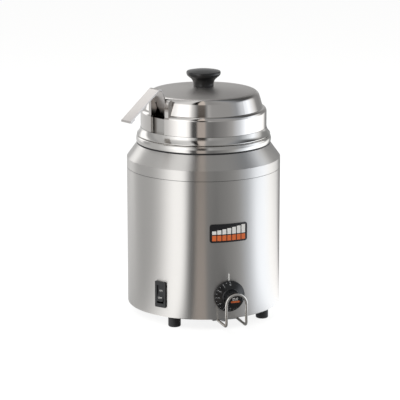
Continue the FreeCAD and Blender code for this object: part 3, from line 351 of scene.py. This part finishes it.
# Finishes, each from a typical value for its material and matched to the object
BRUSHED_STEEL = GrainedMetal(
    # Sheet brushed round the body before rolling: reflections become long upright bands
    "brushed_stainless_sheet", "#cfcdca", 0.34, anisotropy=1.0, roughness_spread=0.04, mottle=0.02,
    mottle_size=60.0)
SPUN_STEEL = GrainedMetal(
    # Spun on a lathe and buffed: brighter than the body, with faint lathe rings
    "spun_buffed_stainless", "#d2d0cd", 0.12, anisotropy=0.5, roughness_spread=0.03, grain_width=0.6,
    grain_length=220.0, grain_depth=0.002, mottle=0.02, mottle_size=50.0)
LID_STEEL = GrainedMetal(
    # The lid's stepped wall is buffed to a mirror, and its crown is left with a satin face
    "mirror_buffed_lid_stainless", "#d6d3d0", 0.08, anisotropy=0.4, roughness_spread=0.02, grain_width=0.6,
    grain_length=220.0, grain_depth=0.0015, mottle=0.02, mottle_size=50.0, satin_above=280.6,
    satin_roughness=0.4)
DRAWN_STEEL = GrainedMetal(
    # Deep-drawn vessel and jar: satin inside, with drawing marks round the wall
    "deep_drawn_stainless", "#c8c6c3", 0.32, anisotropy=0.6, mottle=0.03)
STRIP_STEEL = GrainedMetal(
    # Stamped strip and bowl, tumbled to a soft bright finish with no direction
    "tumbled_stainless_strip", "#d8d4d1", 0.3, grain=Grain.NONE, grain_width=1.4, grain_depth=0.003)
WIRE_STEEL = GrainedMetal(
    # Bright drawn wire
    "bright_drawn_wire", "#cfcdc9", 0.2, grain=Grain.NONE, grain_width=1.0, grain_depth=0.002)
ZINC_STEEL = GrainedMetal(
    # Zinc-plated screws, nuts and brackets: bluish, with a cloudy bloom
    "zinc_plated_steel", "#b9bbbc", 0.38, grain=Grain.NONE, grain_width=2.0, mottle=0.1, mottle_size=6.0)
COPPER = GrainedMetal(
    # Drawn copper and brass blades, slightly dulled
    "dulled_copper_alloy", "#b98252", 0.34, grain=Grain.NONE, mottle=0.12, mottle_size=9.0)
PHENOLIC = Finish(
    # Compression-moulded phenolic: black with a soft sheen and a faint orange-peel
    "moulded_black_phenolic", "#141415", 0.3, coat=0.2, coat_roughness=0.16, mottle=0.2,
    texture_size=1.6, texture_depth=0.012)
DIAL_PLASTIC = Finish(
    # Injection-moulded ABS: blacker and glossier than the phenolic
    "gloss_black_abs", "#101113", 0.22, mottle=0.2, texture_size=2.2, texture_depth=0.008)
SWITCH_PLASTIC = Finish(
    # Spark-eroded nylon: a fine matt texture
    "spark_textured_black_nylon", "#17181a", 0.44, mottle=0.15, texture_size=0.6, texture_depth=0.02)
RUBBER = Finish(
    # Moulded rubber: dull, with a grey bloom
    "moulded_black_rubber", "#1b1b1c", 0.62, mottle=0.2, mottle_size=5.0, texture_size=0.7,
    texture_depth=0.03)
CERAMIC = Finish(
    # Glazed steatite
    "glazed_white_steatite", "#e6e2d8", 0.25, mottle=0.04)
CASE_PLASTIC = Finish(
    # Brown-black moulded thermostat case
    "moulded_thermostat_case", "#2a2521", 0.4, mottle=0.12)
BLANKET = Finish(
    # Needled glass fibre: off-white and woolly
    "needled_glass_fibre", "#d8d2bf", 0.95, mottle=0.12, mottle_size=7.0, texture_size=1.4,
    texture_depth=0.4)
# Extruded silicone insulation on the leads: dull and a little waxy
LEAD_BLACK = Finish("black_silicone_lead", "#1c1c1e", 0.5)
LEAD_WHITE = Finish("white_silicone_lead", "#dcdad4", 0.5)
LEAD_GREEN = Finish("green_silicone_lead", "#2f7a3c", 0.5)
BADGE_BLACK = Finish(
    # Screen-printed polyester film under a clear coat
    "printed_black_film", "#17171a", 0.34, mottle=0.1, texture_depth=0.002)
BADGE_ORANGE = Finish(
    # The same film in its second colour: smooth and even
    "printed_orange_film", "#e2713a", 0.36, mottle=0.04, texture_depth=0.002)
# Pad-printed ink: matt, flat and opaque
PRINT_WHITE = Finish("printed_white_ink", "#efeeea", 0.45, mottle=0.03, texture_depth=0.003)
PRINT_GREY = Finish("printed_grey_ink", "#a9abac", 0.45, mottle=0.03, texture_depth=0.003)
PRINT_ORANGE = Finish("printed_orange_ink", "#e2713a", 0.45, mottle=0.03, texture_depth=0.003)


# Modelling helpers, with half the thickness of print and the merging distance in millimetres, and the
# steps in a curve of the type and in a round corner
PRINT_DEPTH = 0.1
TYPE_CURVE_STEPS = 4
CORNER_STEPS = 5
MERGE_DISTANCE = 0.002


def pick(piece: bpy.types.Object) -> None:
    """Select one object alone and make it active.

    Args:
        piece: The object.
    """
    bpy.ops.object.select_all(action="DESELECT")
    bpy.context.view_layer.objects.active = piece
    piece.select_set(True)


@contextmanager
def editing(piece: bpy.types.Object) -> Iterator[None]:
    """Open a piece in edit mode with all of it selected, and close it afterwards.

    Args:
        piece: The mesh to edit.

    Yields:
        Nothing, while edit mode is open.
    """
    pick(piece)
    bpy.ops.object.mode_set(mode="EDIT")
    bpy.ops.mesh.select_all(action="SELECT")
    yield
    bpy.ops.object.mode_set(mode="OBJECT")


@dataclass(frozen=True)
class Spot:
    """A place on a surface: a point in millimetres, and the ways right and up along the surface."""

    point: Vector
    right: Vector
    up: Vector

    def matrix(self) -> Matrix:
        """Work out the move from a flat drawing in the XY plane to the spot.

        Returns:
            The transform, in metres.
        """
        out = self.right.cross(self.up)
        turn = Matrix((self.right, self.up, out)).transposed().to_4x4()
        return Matrix.Translation(self.point * MM) @ turn


def lay(piece: bpy.types.Object, spot: Spot) -> None:
    """Move a flat drawing to its spot and keep the place in the mesh.

    Args:
        piece: The drawing, in the XY plane.
        spot: Where it goes.
    """
    pick(piece)
    piece.matrix_world = spot.matrix() @ piece.matrix_world
    bpy.ops.object.transform_apply(location=True, rotation=True, scale=True)


def letter(words: str, height: float, depth: float = PRINT_DEPTH) -> bpy.types.Object:
    """Set a short word or number flat, centred on the origin.

    Args:
        words: What it says.
        height: Height of the type in millimetres.
        depth: Half its thickness.

    Returns:
        The word as a mesh.
    """
    bpy.ops.object.select_all(action="DESELECT")
    bpy.ops.object.text_add()
    text = bpy.context.object
    text.data.body, text.data.size, text.data.extrude = words, height * MM, depth * MM
    text.data.align_x, text.data.align_y = "CENTER", "CENTER"
    text.data.resolution_u = TYPE_CURVE_STEPS
    bpy.ops.object.convert(target="MESH")
    return bpy.context.object


def bar(width: float, height: float, corner: float, depth: float = PRINT_DEPTH) -> bpy.types.Object:
    """Make a flat bar with round corners, centred on the origin and half sunk.

    Args:
        width: Size along X in millimetres.
        height: Size along Y.
        corner: Radius of the corners.
        depth: Half its thickness.

    Returns:
        The bar.
    """
    bpy.ops.object.select_all(action="DESELECT")
    bpy.ops.mesh.primitive_plane_add(size=1.0, location=(0, 0, -depth * MM))
    piece = bpy.context.object
    piece.scale = (width * MM, height * MM, 1.0)
    bpy.ops.object.transform_apply(location=True, rotation=False, scale=True)
    with editing(piece):
        bpy.ops.mesh.bevel(offset=corner * MM, offset_type="OFFSET", segments=CORNER_STEPS, affect="VERTICES")
        bpy.ops.mesh.select_all(action="SELECT")
        bpy.ops.mesh.extrude_region_move(TRANSFORM_OT_translate={"value": (0, 0, 2 * depth * MM)})
    return piece


def join(pieces: Sequence[bpy.types.Object]) -> bpy.types.Object:
    """Make one object of several.

    Args:
        pieces: The meshes; the first keeps its place.

    Returns:
        The joined object.
    """
    pick(pieces[0])
    for piece in pieces[1:]:
        piece.select_set(True)
    bpy.ops.object.join()
    return bpy.context.object


def finish_piece(piece: bpy.types.Object, name: str, body: Body, finish: Finish,
                 crease: float = 35.0) -> None:
    """Clean a finished mesh, dress it and hang it on its body.

    Args:
        piece: The mesh, in place.
        name: The piece's name.
        body: The CAD body it rides on.
        finish: Its finish.
        crease: Edges sharper than this many degrees stay sharp.
    """
    piece.name = piece.data.name = name
    with editing(piece):
        bpy.ops.mesh.remove_doubles(threshold=MERGE_DISTANCE * MM)
        bpy.ops.mesh.select_all(action="SELECT")
        bpy.ops.mesh.normals_make_consistent(inside=False)
    bpy.ops.object.shade_smooth_by_angle(angle=math.radians(crease))
    piece.data.materials.clear()
    piece.data.materials.append(finish.build())
    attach(piece, body.value)
    log.info("%s on %s: %d faces", name, body.value, len(piece.data.polygons))


# Studio


@dataclass
class PhotoCamera:
    """The camera, where the photograph was taken from."""

    bearing: float = -18.9
    elevation: float = 13.32
    distance: float = 2512.0
    lens: float = 181.2
    sensor: float = 36.0
    aim_height: float = 141.6
    aim_left: float = 4.35
    nearest: float = 50.0
    farthest: float = 60000.0

    def build(self) -> None:
        """Add the camera and make it the scene's own."""
        back = heading(self.bearing, self.elevation)
        aim = UP * self.aim_height - rightward(self.bearing) * self.aim_left
        bpy.ops.object.camera_add(location=(aim + back * self.distance) * MM,
                                  rotation=(-back).to_track_quat("-Z", "Y").to_euler())
        camera = bpy.context.object
        camera.name = "photo_camera"
        camera.data.lens, camera.data.sensor_width = self.lens, self.sensor
        camera.data.clip_start, camera.data.clip_end = self.nearest * MM, self.farthest * MM
        bpy.context.scene.camera = camera


WHITE = "#ffffff"
WARM = "#fff3ea"
COOL = "#f3f8ff"


@dataclass(frozen=True)
class TentPanel:
    """Where one panel of the light tent meets the next: the brightness of its tiers."""

    bearing: float
    lower: float
    middle: float
    upper: float
    tint: str = WHITE


@dataclass(frozen=True)
class SoftLamp:
    """A square lamp by its bearing and height in degrees, its distance and side, and its watts."""

    bearing: float
    height: float
    distance: float
    power: float
    side: float = 900.0
    aim_height: float = 140.0

    def build(self) -> None:
        """Add the lamp, looking at the middle of the object and unseen in the steel."""
        out = heading(self.bearing, self.height)
        bpy.ops.object.light_add(type="AREA", location=(out * self.distance + UP * self.aim_height) * MM,
                                 rotation=out.to_track_quat("Z", "Y").to_euler())
        lamp = bpy.context.object
        lamp.name = f"soft_lamp_{round(self.bearing % 360)}"
        lamp.data.size = self.side * MM
        lamp.data.energy = self.power
        lamp.visible_glossy = False


@dataclass
class Studio:
    """A white floor, soft lamps and a light tent whose panels the steel shows.

    The tent is bright and dark by bearing, in three tiers, as the photograph's steel shows its
    studio. A tier step is the heights between which one tier fades into the next.
    """

    world_light: float = 0.62
    world_white: float = 1.0
    floor_size: float = 30000.0
    floor_colour: str = "#7c7c7b"
    floor_white: float = 0.84
    tent_radius: float = 620.0
    tent_lift: float = 0.4
    tent_segments: int = 96
    tent_rings: int = 48
    tier_steps: tuple[tuple[float, float], ...] = ((150.0, 260.0), (400.0, 500.0))
    panels: tuple[TentPanel, ...] = (
        TentPanel(-198.9, 0.6, 0.6, 0.4), TentPanel(-164.0, 0.77, 0.6, 0.4),
        TentPanel(-154.0, 0.75, 1.6, 1.5), TentPanel(-140.0, 0.69, 1.6, 1.5),
        TentPanel(-132.0, 0.66, 0.5, 0.5), TentPanel(-120.0, 0.61, 0.45, 0.45),
        TentPanel(-111.0, 0.58, 0.6, 0.6),
        TentPanel(-97.0, 0.62, 0.62, 0.62), TentPanel(-84.0, 0.84, 0.84, 0.7),
        TentPanel(-69.5, 1.34, 1.5, 0.85), TentPanel(-62.0, 1.58, 1.8, 0.9),
        TentPanel(-48.5, 1.58, 1.8, 0.9), TentPanel(-43.5, 1.15, 1.4, 0.8),
        TentPanel(-40.0, 0.4, 0.95, 0.2), TentPanel(-37.0, 0.1, 0.75, 0.0), TentPanel(-31.5, 0.1, 0.3, 0.0),
        TentPanel(-28.0, 0.54, 0.08, 0.75, WARM), TentPanel(-17.5, 0.54, 0.08, 0.75, WARM),
        TentPanel(-14.0, 0.28, 0.25, 0.4), TentPanel(-10.0, 0.22, 0.55, 0.37),
        TentPanel(-3.0, 0.2, 0.42, 0.34), TentPanel(19.0, 0.34, 0.4, 0.4), TentPanel(31.0, 0.49, 0.4, 0.42),
        TentPanel(46.0, 1.0, 0.46, 0.38, COOL), TentPanel(62.0, 1.85, 1.1, 0.2, COOL),
        TentPanel(76.0, 1.9, 1.7, 0.1, COOL), TentPanel(92.0, 1.8, 1.0, 0.1),
        TentPanel(104.0, 1.6, 0.35, 0.1), TentPanel(116.0, 1.3, 0.3, 0.15),
        TentPanel(125.0, 0.4, 0.3, 0.25), TentPanel(147.0, 0.2, 0.5, 0.38),
        TentPanel(161.1, 0.6, 0.6, 0.4))
    lamps: tuple[SoftLamp, ...] = (
        SoftLamp(-60.0, 42.0, 1500.0, 14.0), SoftLamp(75.0, 35.0, 1600.0, 10.0),
        SoftLamp(160.0, 60.0, 1700.0, 8.0))

    def build(self) -> None:
        """Set the world, the floor, the tent and the lamps."""
        bpy.context.scene.view_settings.view_transform = "Standard"
        self.world()
        self.floor()
        self.tent()
        for lamp in self.lamps:
            lamp.build()

    def seen(self, tree: bpy.types.NodeTree) -> bpy.types.NodeSocket:
        """Tell the rays that show the background: from the camera, a reflection or a refraction.

        Args:
            tree: The tree to add the nodes to.

        Returns:
            1 for such a ray, and 0 for one that only lights.
        """
        path = add_node(tree, "LightPath")
        first = add_node(tree, "Math", {"operation": "ADD"}, {
            0: path.outputs["Is Camera Ray"], 1: path.outputs["Is Glossy Ray"]})
        both = add_node(tree, "Math", {"operation": "ADD", "use_clamp": True}, {
            0: first.outputs[0], 1: path.outputs["Is Transmission Ray"]})
        return both.outputs[0]

    def world(self) -> None:
        """White where it shows, and a soft even light."""
        world = bpy.data.worlds.new("white_studio")
        world.use_nodes = True
        tree = world.node_tree
        tree.nodes.clear()
        level = add_node(tree, "MapRange", None, {
            "Value": self.seen(tree), "To Min": self.world_light, "To Max": self.world_white})
        light = add_node(tree, "Background", None, {
            "Color": linear(WHITE), "Strength": level.outputs["Result"]})
        add_node(tree, "OutputWorld", None, {"Surface": light.outputs[0]})
        bpy.context.scene.world = world

    def floor(self) -> None:
        """A white floor that keeps a soft shadow."""
        bpy.ops.mesh.primitive_plane_add(size=self.floor_size * MM)
        floor = bpy.context.object
        floor.name = "studio_floor"
        material = bpy.data.materials.new("white_floor_paper")
        material.use_nodes = True
        tree = material.node_tree
        tree.nodes.clear()
        paper = add_node(tree, "BsdfDiffuse", None, {"Color": linear(self.floor_colour)})
        share = add_node(tree, "Math", {"operation": "MULTIPLY"}, {0: self.seen(tree), 1: self.floor_white})
        glow = add_node(tree, "Emission", None, {"Color": linear(WHITE), "Strength": share.outputs[0]})
        both = add_node(tree, "AddShader", None, {0: paper.outputs[0], 1: glow.outputs[0]})
        add_node(tree, "OutputMaterial", None, {"Surface": both.outputs[0]})
        floor.data.materials.append(material)

    def tent(self) -> None:
        """A dome round the object that only reflections see, with panels by bearing."""
        bpy.ops.mesh.primitive_uv_sphere_add(segments=self.tent_segments, ring_count=self.tent_rings,
                                             radius=self.tent_radius * MM)
        tent = bpy.context.object
        tent.name = "light_tent"
        with editing(tent):
            bpy.ops.mesh.bisect(plane_co=UP * self.tent_lift * MM, plane_no=UP, clear_inner=True,
                                use_fill=True)
            bpy.ops.mesh.select_all(action="SELECT")
            bpy.ops.mesh.flip_normals()
        tent.data.materials.append(self.lining())
        tent.visible_camera = tent.visible_diffuse = tent.visible_shadow = False
        tent.visible_transmission = tent.visible_volume_scatter = False

    def lining(self) -> bpy.types.Material:
        """Make the tent's glowing lining.

        Returns:
            The material, bright and dark as the panels and their tiers say.
        """
        material = bpy.data.materials.new("light_tent_lining")
        material.use_nodes = True
        material.cycles.emission_sampling = "NONE"
        tree = material.node_tree
        tree.nodes.clear()
        start = self.panels[0].bearing
        place = add_node(tree, "TexCoord").outputs["Object"]
        turned = add_node(tree, "VectorRotate", {"rotation_type": "Z_AXIS"}, {
            "Vector": place, "Angle": -math.radians(start) - math.pi})
        flat = add_node(tree, "SeparateXYZ", None, {"Vector": turned.outputs[0]})
        ahead = add_node(tree, "Math", {"operation": "MULTIPLY"}, {0: flat.outputs["Y"], 1: -1.0})
        angle = add_node(tree, "Math", {"operation": "ARCTAN2"}, {0: flat.outputs["X"], 1: ahead.outputs[0]})
        share = add_node(tree, "MapRange", None, {
            "Value": angle.outputs[0], "From Min": -math.pi, "From Max": math.pi})
        tiers = []
        for tier in ("lower", "middle", "upper"):
            ramp = add_node(tree, "ValToRGB", None, {"Fac": share.outputs["Result"]})
            fill_ramp(ramp, [((panel.bearing - start) / 360.0, [
                c * getattr(panel, tier) for c in linear(panel.tint)[:3]] + [1.0]) for panel in self.panels])
            tiers.append(ramp.outputs["Color"])
        lining = tiers[0]
        for tier, (low, high) in zip(tiers[1:], self.tier_steps):
            height = add_node(tree, "MapRange", {"interpolation_type": "SMOOTHSTEP"}, {
                "Value": flat.outputs["Z"], "From Min": low * MM, "From Max": high * MM})
            lining = add_node(tree, "Mix", {"data_type": "RGBA"}, {
                "Factor": height.outputs["Result"], "A": lining, "B": tier}).outputs["Result"]
        glow = add_node(tree, "Emission", None, {"Color": lining, "Strength": 1.0})
        add_node(tree, "OutputMaterial", None, {"Surface": glow.outputs[0]})
        return material


# Sub-assemblies


@dataclass
class CasingTrim:
    """A dark bead in the casing's seam, painted shade that stands for the shadowed gap, and the dressed weld
    up its back.
    """

    body_radius: float = 95.0
    seam_level: float = 186.25
    seam_sink: float = 0.45
    bead_radius: float = 0.24
    bead_points: int = 12
    bead_steps: int = 180
    bead_crease: float = 60.0
    weld_bearing: float = 158.0
    weld_width: float = 2.2
    weld_bottom: float = 17.0
    weld_top: float = 185.6
    weld_proud: float = 0.12
    weld_end_share: float = 0.45
    weld_edge_share: float = 0.8
    weld_edge_steps: int = 2
    weld_crease: float = 40.0

    def build(self) -> None:
        """Model both pieces."""
        self.sealant()
        self.weld()

    def sealant(self) -> None:
        """Spin a small dark bead about the axis in the gap between wrapper and shoulder: painted shade that
        darkens the seam line.
        """
        bpy.ops.object.select_all(action="DESELECT")
        start = (0.0, -(self.body_radius - self.seam_sink) * MM, self.seam_level * MM)
        bpy.ops.mesh.primitive_circle_add(vertices=self.bead_points, radius=self.bead_radius * MM,
                                          location=start, rotation=(0.0, math.pi / 2, 0.0))
        bead = bpy.context.object
        bpy.ops.object.transform_apply(location=True, rotation=True, scale=True)
        with editing(bead):
            bpy.ops.mesh.spin(steps=self.bead_steps, angle=2 * math.pi, center=(0, 0, 0), axis=UP)
        # Black rubber in the gap: painted shade for the seam line, not a sealant of the real kettle
        finish_piece(bead, "seam_painted_shade_bead", Body.HOUSING, RUBBER, self.bead_crease)

    def weld(self) -> None:
        """Raise a low, flat bead up the back, where the rolled sheet's edges meet."""
        middle = heading(self.weld_bearing) * (self.body_radius - self.weld_proud) \
            + UP * (self.weld_bottom + self.weld_top) / 2
        bead = bar(self.weld_width, self.weld_top - self.weld_bottom, self.weld_width * self.weld_end_share,
                   2 * self.weld_proud)
        with editing(bead):
            bpy.ops.mesh.bevel(offset=self.weld_proud * self.weld_edge_share * MM,
                               segments=self.weld_edge_steps, affect="EDGES", clamp_overlap=True)
        lay(bead, Spot(middle, rightward(self.weld_bearing), UP))
        finish_piece(bead, "back_weld", Body.HOUSING, BRUSHED_STEEL, self.weld_crease)


@dataclass
class DialPrint:
    """Numbers and ticks on the dial's skirt, and the print on its cap.

    The dial turns clockwise from its rest, so higher numbers follow anticlockwise from the top.
    """

    height: float = 43.4
    skirt_inner: tuple[float, float] = (11.8, 102.2)
    skirt_outer: tuple[float, float] = (18.7, 98.6)
    number_at: float = 0.46
    tick_at: float = 0.86
    top_number: int = 9
    number_step: float = 30.0
    number_height: float = 3.6
    tick_length: float = 1.7
    tick_width: float = 0.55
    tick_corner: float = 0.3
    half_tick_cut: float = 0.4
    cap_front: float = 118.0
    stripe_corner: float = 0.25
    stripe_depth: float = 0.04
    stripes: tuple[tuple[float, float, float, float], ...] = (
        (-1.9, 2.7, 3.2, 1.0), (2.0, 2.7, 2.6, 1.0), (-2.6, 0.9, 2.0, 1.0), (1.0, 0.9, 4.4, 1.0))
    band: tuple[float, float, float, float] = (0.0, -1.6, 11.0, 2.1)

    def spot(self, share: float, angle: float) -> Spot:
        """A spot on the skirt's cone.

        Args:
            share: 0 at the grip and 1 at the rim.
            angle: Degrees clockwise from the top, seen from the front.

        Returns:
            The spot, with up towards the rim.
        """
        turn = math.radians(angle)
        away = Vector((math.sin(turn), 0.0, math.cos(turn)))
        inner, outer = (away * radius + heading(0.0) * reach
                        for radius, reach in (self.skirt_inner, self.skirt_outer))
        right = Vector((math.cos(turn), 0.0, -math.sin(turn)))
        point = inner.lerp(outer, share) + UP * self.height
        return Spot(point, right, (outer - inner).normalized())

    def build(self) -> None:
        """Model the numbers, the ticks and the cap's stripes."""
        numbers, ticks = [], []
        for number in range(self.top_number + 1):
            angle = -number * self.number_step
            digit = letter(str(number), self.number_height)
            lay(digit, self.spot(self.number_at, angle))
            numbers.append(digit)
            for half in range(2 if number < self.top_number else 1):
                tick = bar(self.tick_width, self.tick_length * (1 - self.half_tick_cut * half),
                           self.tick_width * self.tick_corner)
                lay(tick, self.spot(self.tick_at, angle - half * self.number_step / 2))
                ticks.append(tick)
        finish_piece(join(numbers), "dial_numbers", Body.KNOB, PRINT_GREY)
        finish_piece(join(ticks), "dial_ticks", Body.KNOB, PRINT_GREY)
        finish_piece(join([self.stripe(*place) for place in self.stripes]), "cap_stripes", Body.KNOB,
                     PRINT_WHITE)
        finish_piece(self.stripe(*self.band), "cap_band", Body.KNOB, PRINT_ORANGE)

    def stripe(self, across: float, up: float, width: float, height: float) -> bpy.types.Object:
        """Make a printed bar on the cap.

        Args:
            across: Its middle, right of the dial's.
            up: Its middle, above the dial's.
            width: Its size across.
            height: Its size upwards.

        Returns:
            The bar.
        """
        piece = bar(width, height, height * self.stripe_corner, self.stripe_depth)
        point = Vector((across, -self.cap_front, self.height + up))
        lay(piece, Spot(point, rightward(0.0), UP))
        return piece


@dataclass
class BadgePrint:
    """A generic row of heat bars, white over orange, printed on the curved plate."""

    level: float = 122.2
    columns: int = 7
    pitch: float = 6.2
    column_width: float = 5.0
    bottom: float = -9.3
    orange_height: float = 6.8
    gap: float = 1.2
    white_low: float = 4.2
    white_high: float = 10.4
    ahead: float = 104.0
    ink: float = 0.1
    ink_proud: float = 0.2

    def build(self) -> None:
        """Model the white bars and the orange bars."""
        whites, oranges = [], []
        white_bottom = self.bottom + self.orange_height + self.gap
        for column in range(self.columns):
            across = (column - (self.columns - 1) / 2) * self.pitch
            share = column / (self.columns - 1)
            tall = self.white_low + (self.white_high - self.white_low) * share
            whites.append(self.patch(across, white_bottom + tall / 2, self.column_width, tall))
            oranges.append(self.patch(across, self.bottom + self.orange_height / 2, self.column_width,
                                      self.orange_height))
        finish_piece(join(whites), "badge_white_bars", Body.HOUSING, PRINT_WHITE)
        finish_piece(join(oranges), "badge_orange_bars", Body.HOUSING, BADGE_ORANGE)

    def patch(self, across: float, up: float, width: float, height: float) -> bpy.types.Object:
        """A thin bar that follows the plate.

        Args:
            across: Its middle, right of the plate's.
            up: Its middle, above the plate's.
            width: Its size along the curve.
            height: Its size upwards.

        Returns:
            The bar.
        """
        bpy.ops.object.select_all(action="DESELECT")
        bpy.ops.mesh.primitive_grid_add(
            x_subdivisions=max(2, round(width)), y_subdivisions=2, size=1.0,
            location=(across * MM, -self.ahead * MM, (self.level + up) * MM), rotation=(math.pi / 2, 0, 0))
        piece = bpy.context.object
        piece.scale = (width * MM, height * MM, 1.0)
        bpy.ops.object.transform_apply(location=True, rotation=True, scale=True)
        wrap = piece.modifiers.new("follow", "SHRINKWRAP")
        wrap.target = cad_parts["badge_plate"]
        wrap.wrap_method, wrap.use_project_y, wrap.use_negative_direction = "PROJECT", True, True
        bpy.ops.object.modifier_apply(modifier=wrap.name)
        thick = piece.modifiers.new("ink", "SOLIDIFY")
        thick.thickness, thick.offset = self.ink * MM, self.ink_proud
        bpy.ops.object.modifier_apply(modifier=thick.name)
        return piece


@dataclass
class SwitchPrint:
    """ON and OFF on the two faces of the rocker."""

    bearing: float = -52.0
    level: float = 42.4
    pivot_radius: float = 89.8
    tilt: float = 10.0
    crest: float = 5.8
    tip: float = 7.3
    half_height: float = 9.8
    words: tuple[tuple[str, float], ...] = (("ON", 3.4), ("OFF", -5.6))
    type_height: float = 3.0
    type_depth: float = 0.06

    def spot(self, along: float) -> Spot:
        """A spot on the rocker's front, a distance up or down from its middle.

        Args:
            along: Millimetres up the face.

        Returns:
            The spot.
        """
        out, front = heading(self.bearing), heading(self.bearing, self.tilt)
        top = heading(self.bearing, self.tilt + 90.0)
        slope = (self.tip - self.crest) / self.half_height
        sign = 1 if along > 0 else -1
        up = (top + front * slope * sign).normalized()
        point = out * self.pivot_radius + UP * self.level + front * (self.crest + slope * abs(along)) \
            + top * along
        return Spot(point, rightward(self.bearing), up)

    def build(self) -> None:
        """Model both words."""
        pieces = []
        for words, along in self.words:
            word = letter(words, self.type_height, self.type_depth)
            lay(word, self.spot(along))
            pieces.append(word)
        finish_piece(join(pieces), "rocker_words", Body.ROCKER, PRINT_WHITE)


# Dressing of the CAD nodes
NODE_FINISHES: dict[Finish, tuple[str, ...]] = {
    BRUSHED_STEEL: ("outer_wrapper", "shoulder_shell"),
    LID_STEEL: ("lid",),
    SPUN_STEEL: ("jar_collar", "water_vessel"),
    DRAWN_STEEL: ("jar",),
    STRIP_STEEL: ("ladle_handle", "ladle_bowl", "ladle_rivets"),
    WIRE_STEEL: ("dial_guard",),
    ZINC_STEEL: (
        "base_plate", "foot_screws", "foot_nuts", "guard_clamp", "guard_clamp_screw", "guard_clamp_nut",
        "heating_element", "heater_clamp_bar", "heater_clamp_stud", "heater_clamp_nut", "cutout_screws",
        "thermostat_bracket", "thermostat_screws", "thermostat_shaft", "terminal_block_screws",
        "earth_screw", "rocker_pin", "lid_knob_washer", "lid_knob_screw"),
    COPPER: ("capillary_tube", "sensing_bulb", "thermostat_terminals", "switch_terminals"),
    PHENOLIC: ("lid_knob",),
    DIAL_PLASTIC: ("control_knob", "knob_cap"),
    SWITCH_PLASTIC: ("switch_housing", "switch_rocker", "cord_bushing", "cord_bushing_nut"),
    # rim_gasket is a seal under the rim bead, and its black also stands in for the shade beneath the bead:
    # partly real, partly painted shade
    RUBBER: ("foot_front_right", "foot_rear_right", "foot_rear_left", "foot_front_left", "rim_gasket"),
    CERAMIC: ("high_limit_cutout", "terminal_block"),
    CASE_PLASTIC: ("thermostat_body",),
    BLANKET: ("insulation_jacket",),
    LEAD_BLACK: ("line_lead", "switch_lead", "heater_lead", "return_lead"),
    LEAD_WHITE: ("neutral_lead",),
    LEAD_GREEN: ("earth_lead",),
    BADGE_BLACK: ("badge_plate",),
    PRINT_WHITE: ("index_mark",),
}


def dress_nodes() -> None:
    """Give every CAD node its finish."""
    for finish, names in NODE_FINISHES.items():
        material = finish.build()
        for name in names:
            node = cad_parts[name]
            for slot in node.material_slots:
                slot.material = material
        log.info("%s: %s", finish.name, ", ".join(names))


def main() -> None:
    """Build the studio and dress the object."""
    logging.basicConfig(level=logging.INFO, format="%(name)s: %(message)s")
    bpy.ops.object.select_all(action="DESELECT")
    PhotoCamera().build()
    Studio().build()
    dress_nodes()
    for assembly in (CasingTrim(), DialPrint(), BadgePrint(), SwitchPrint()):
        assembly.build()


if __name__ == "__main__":
    main()
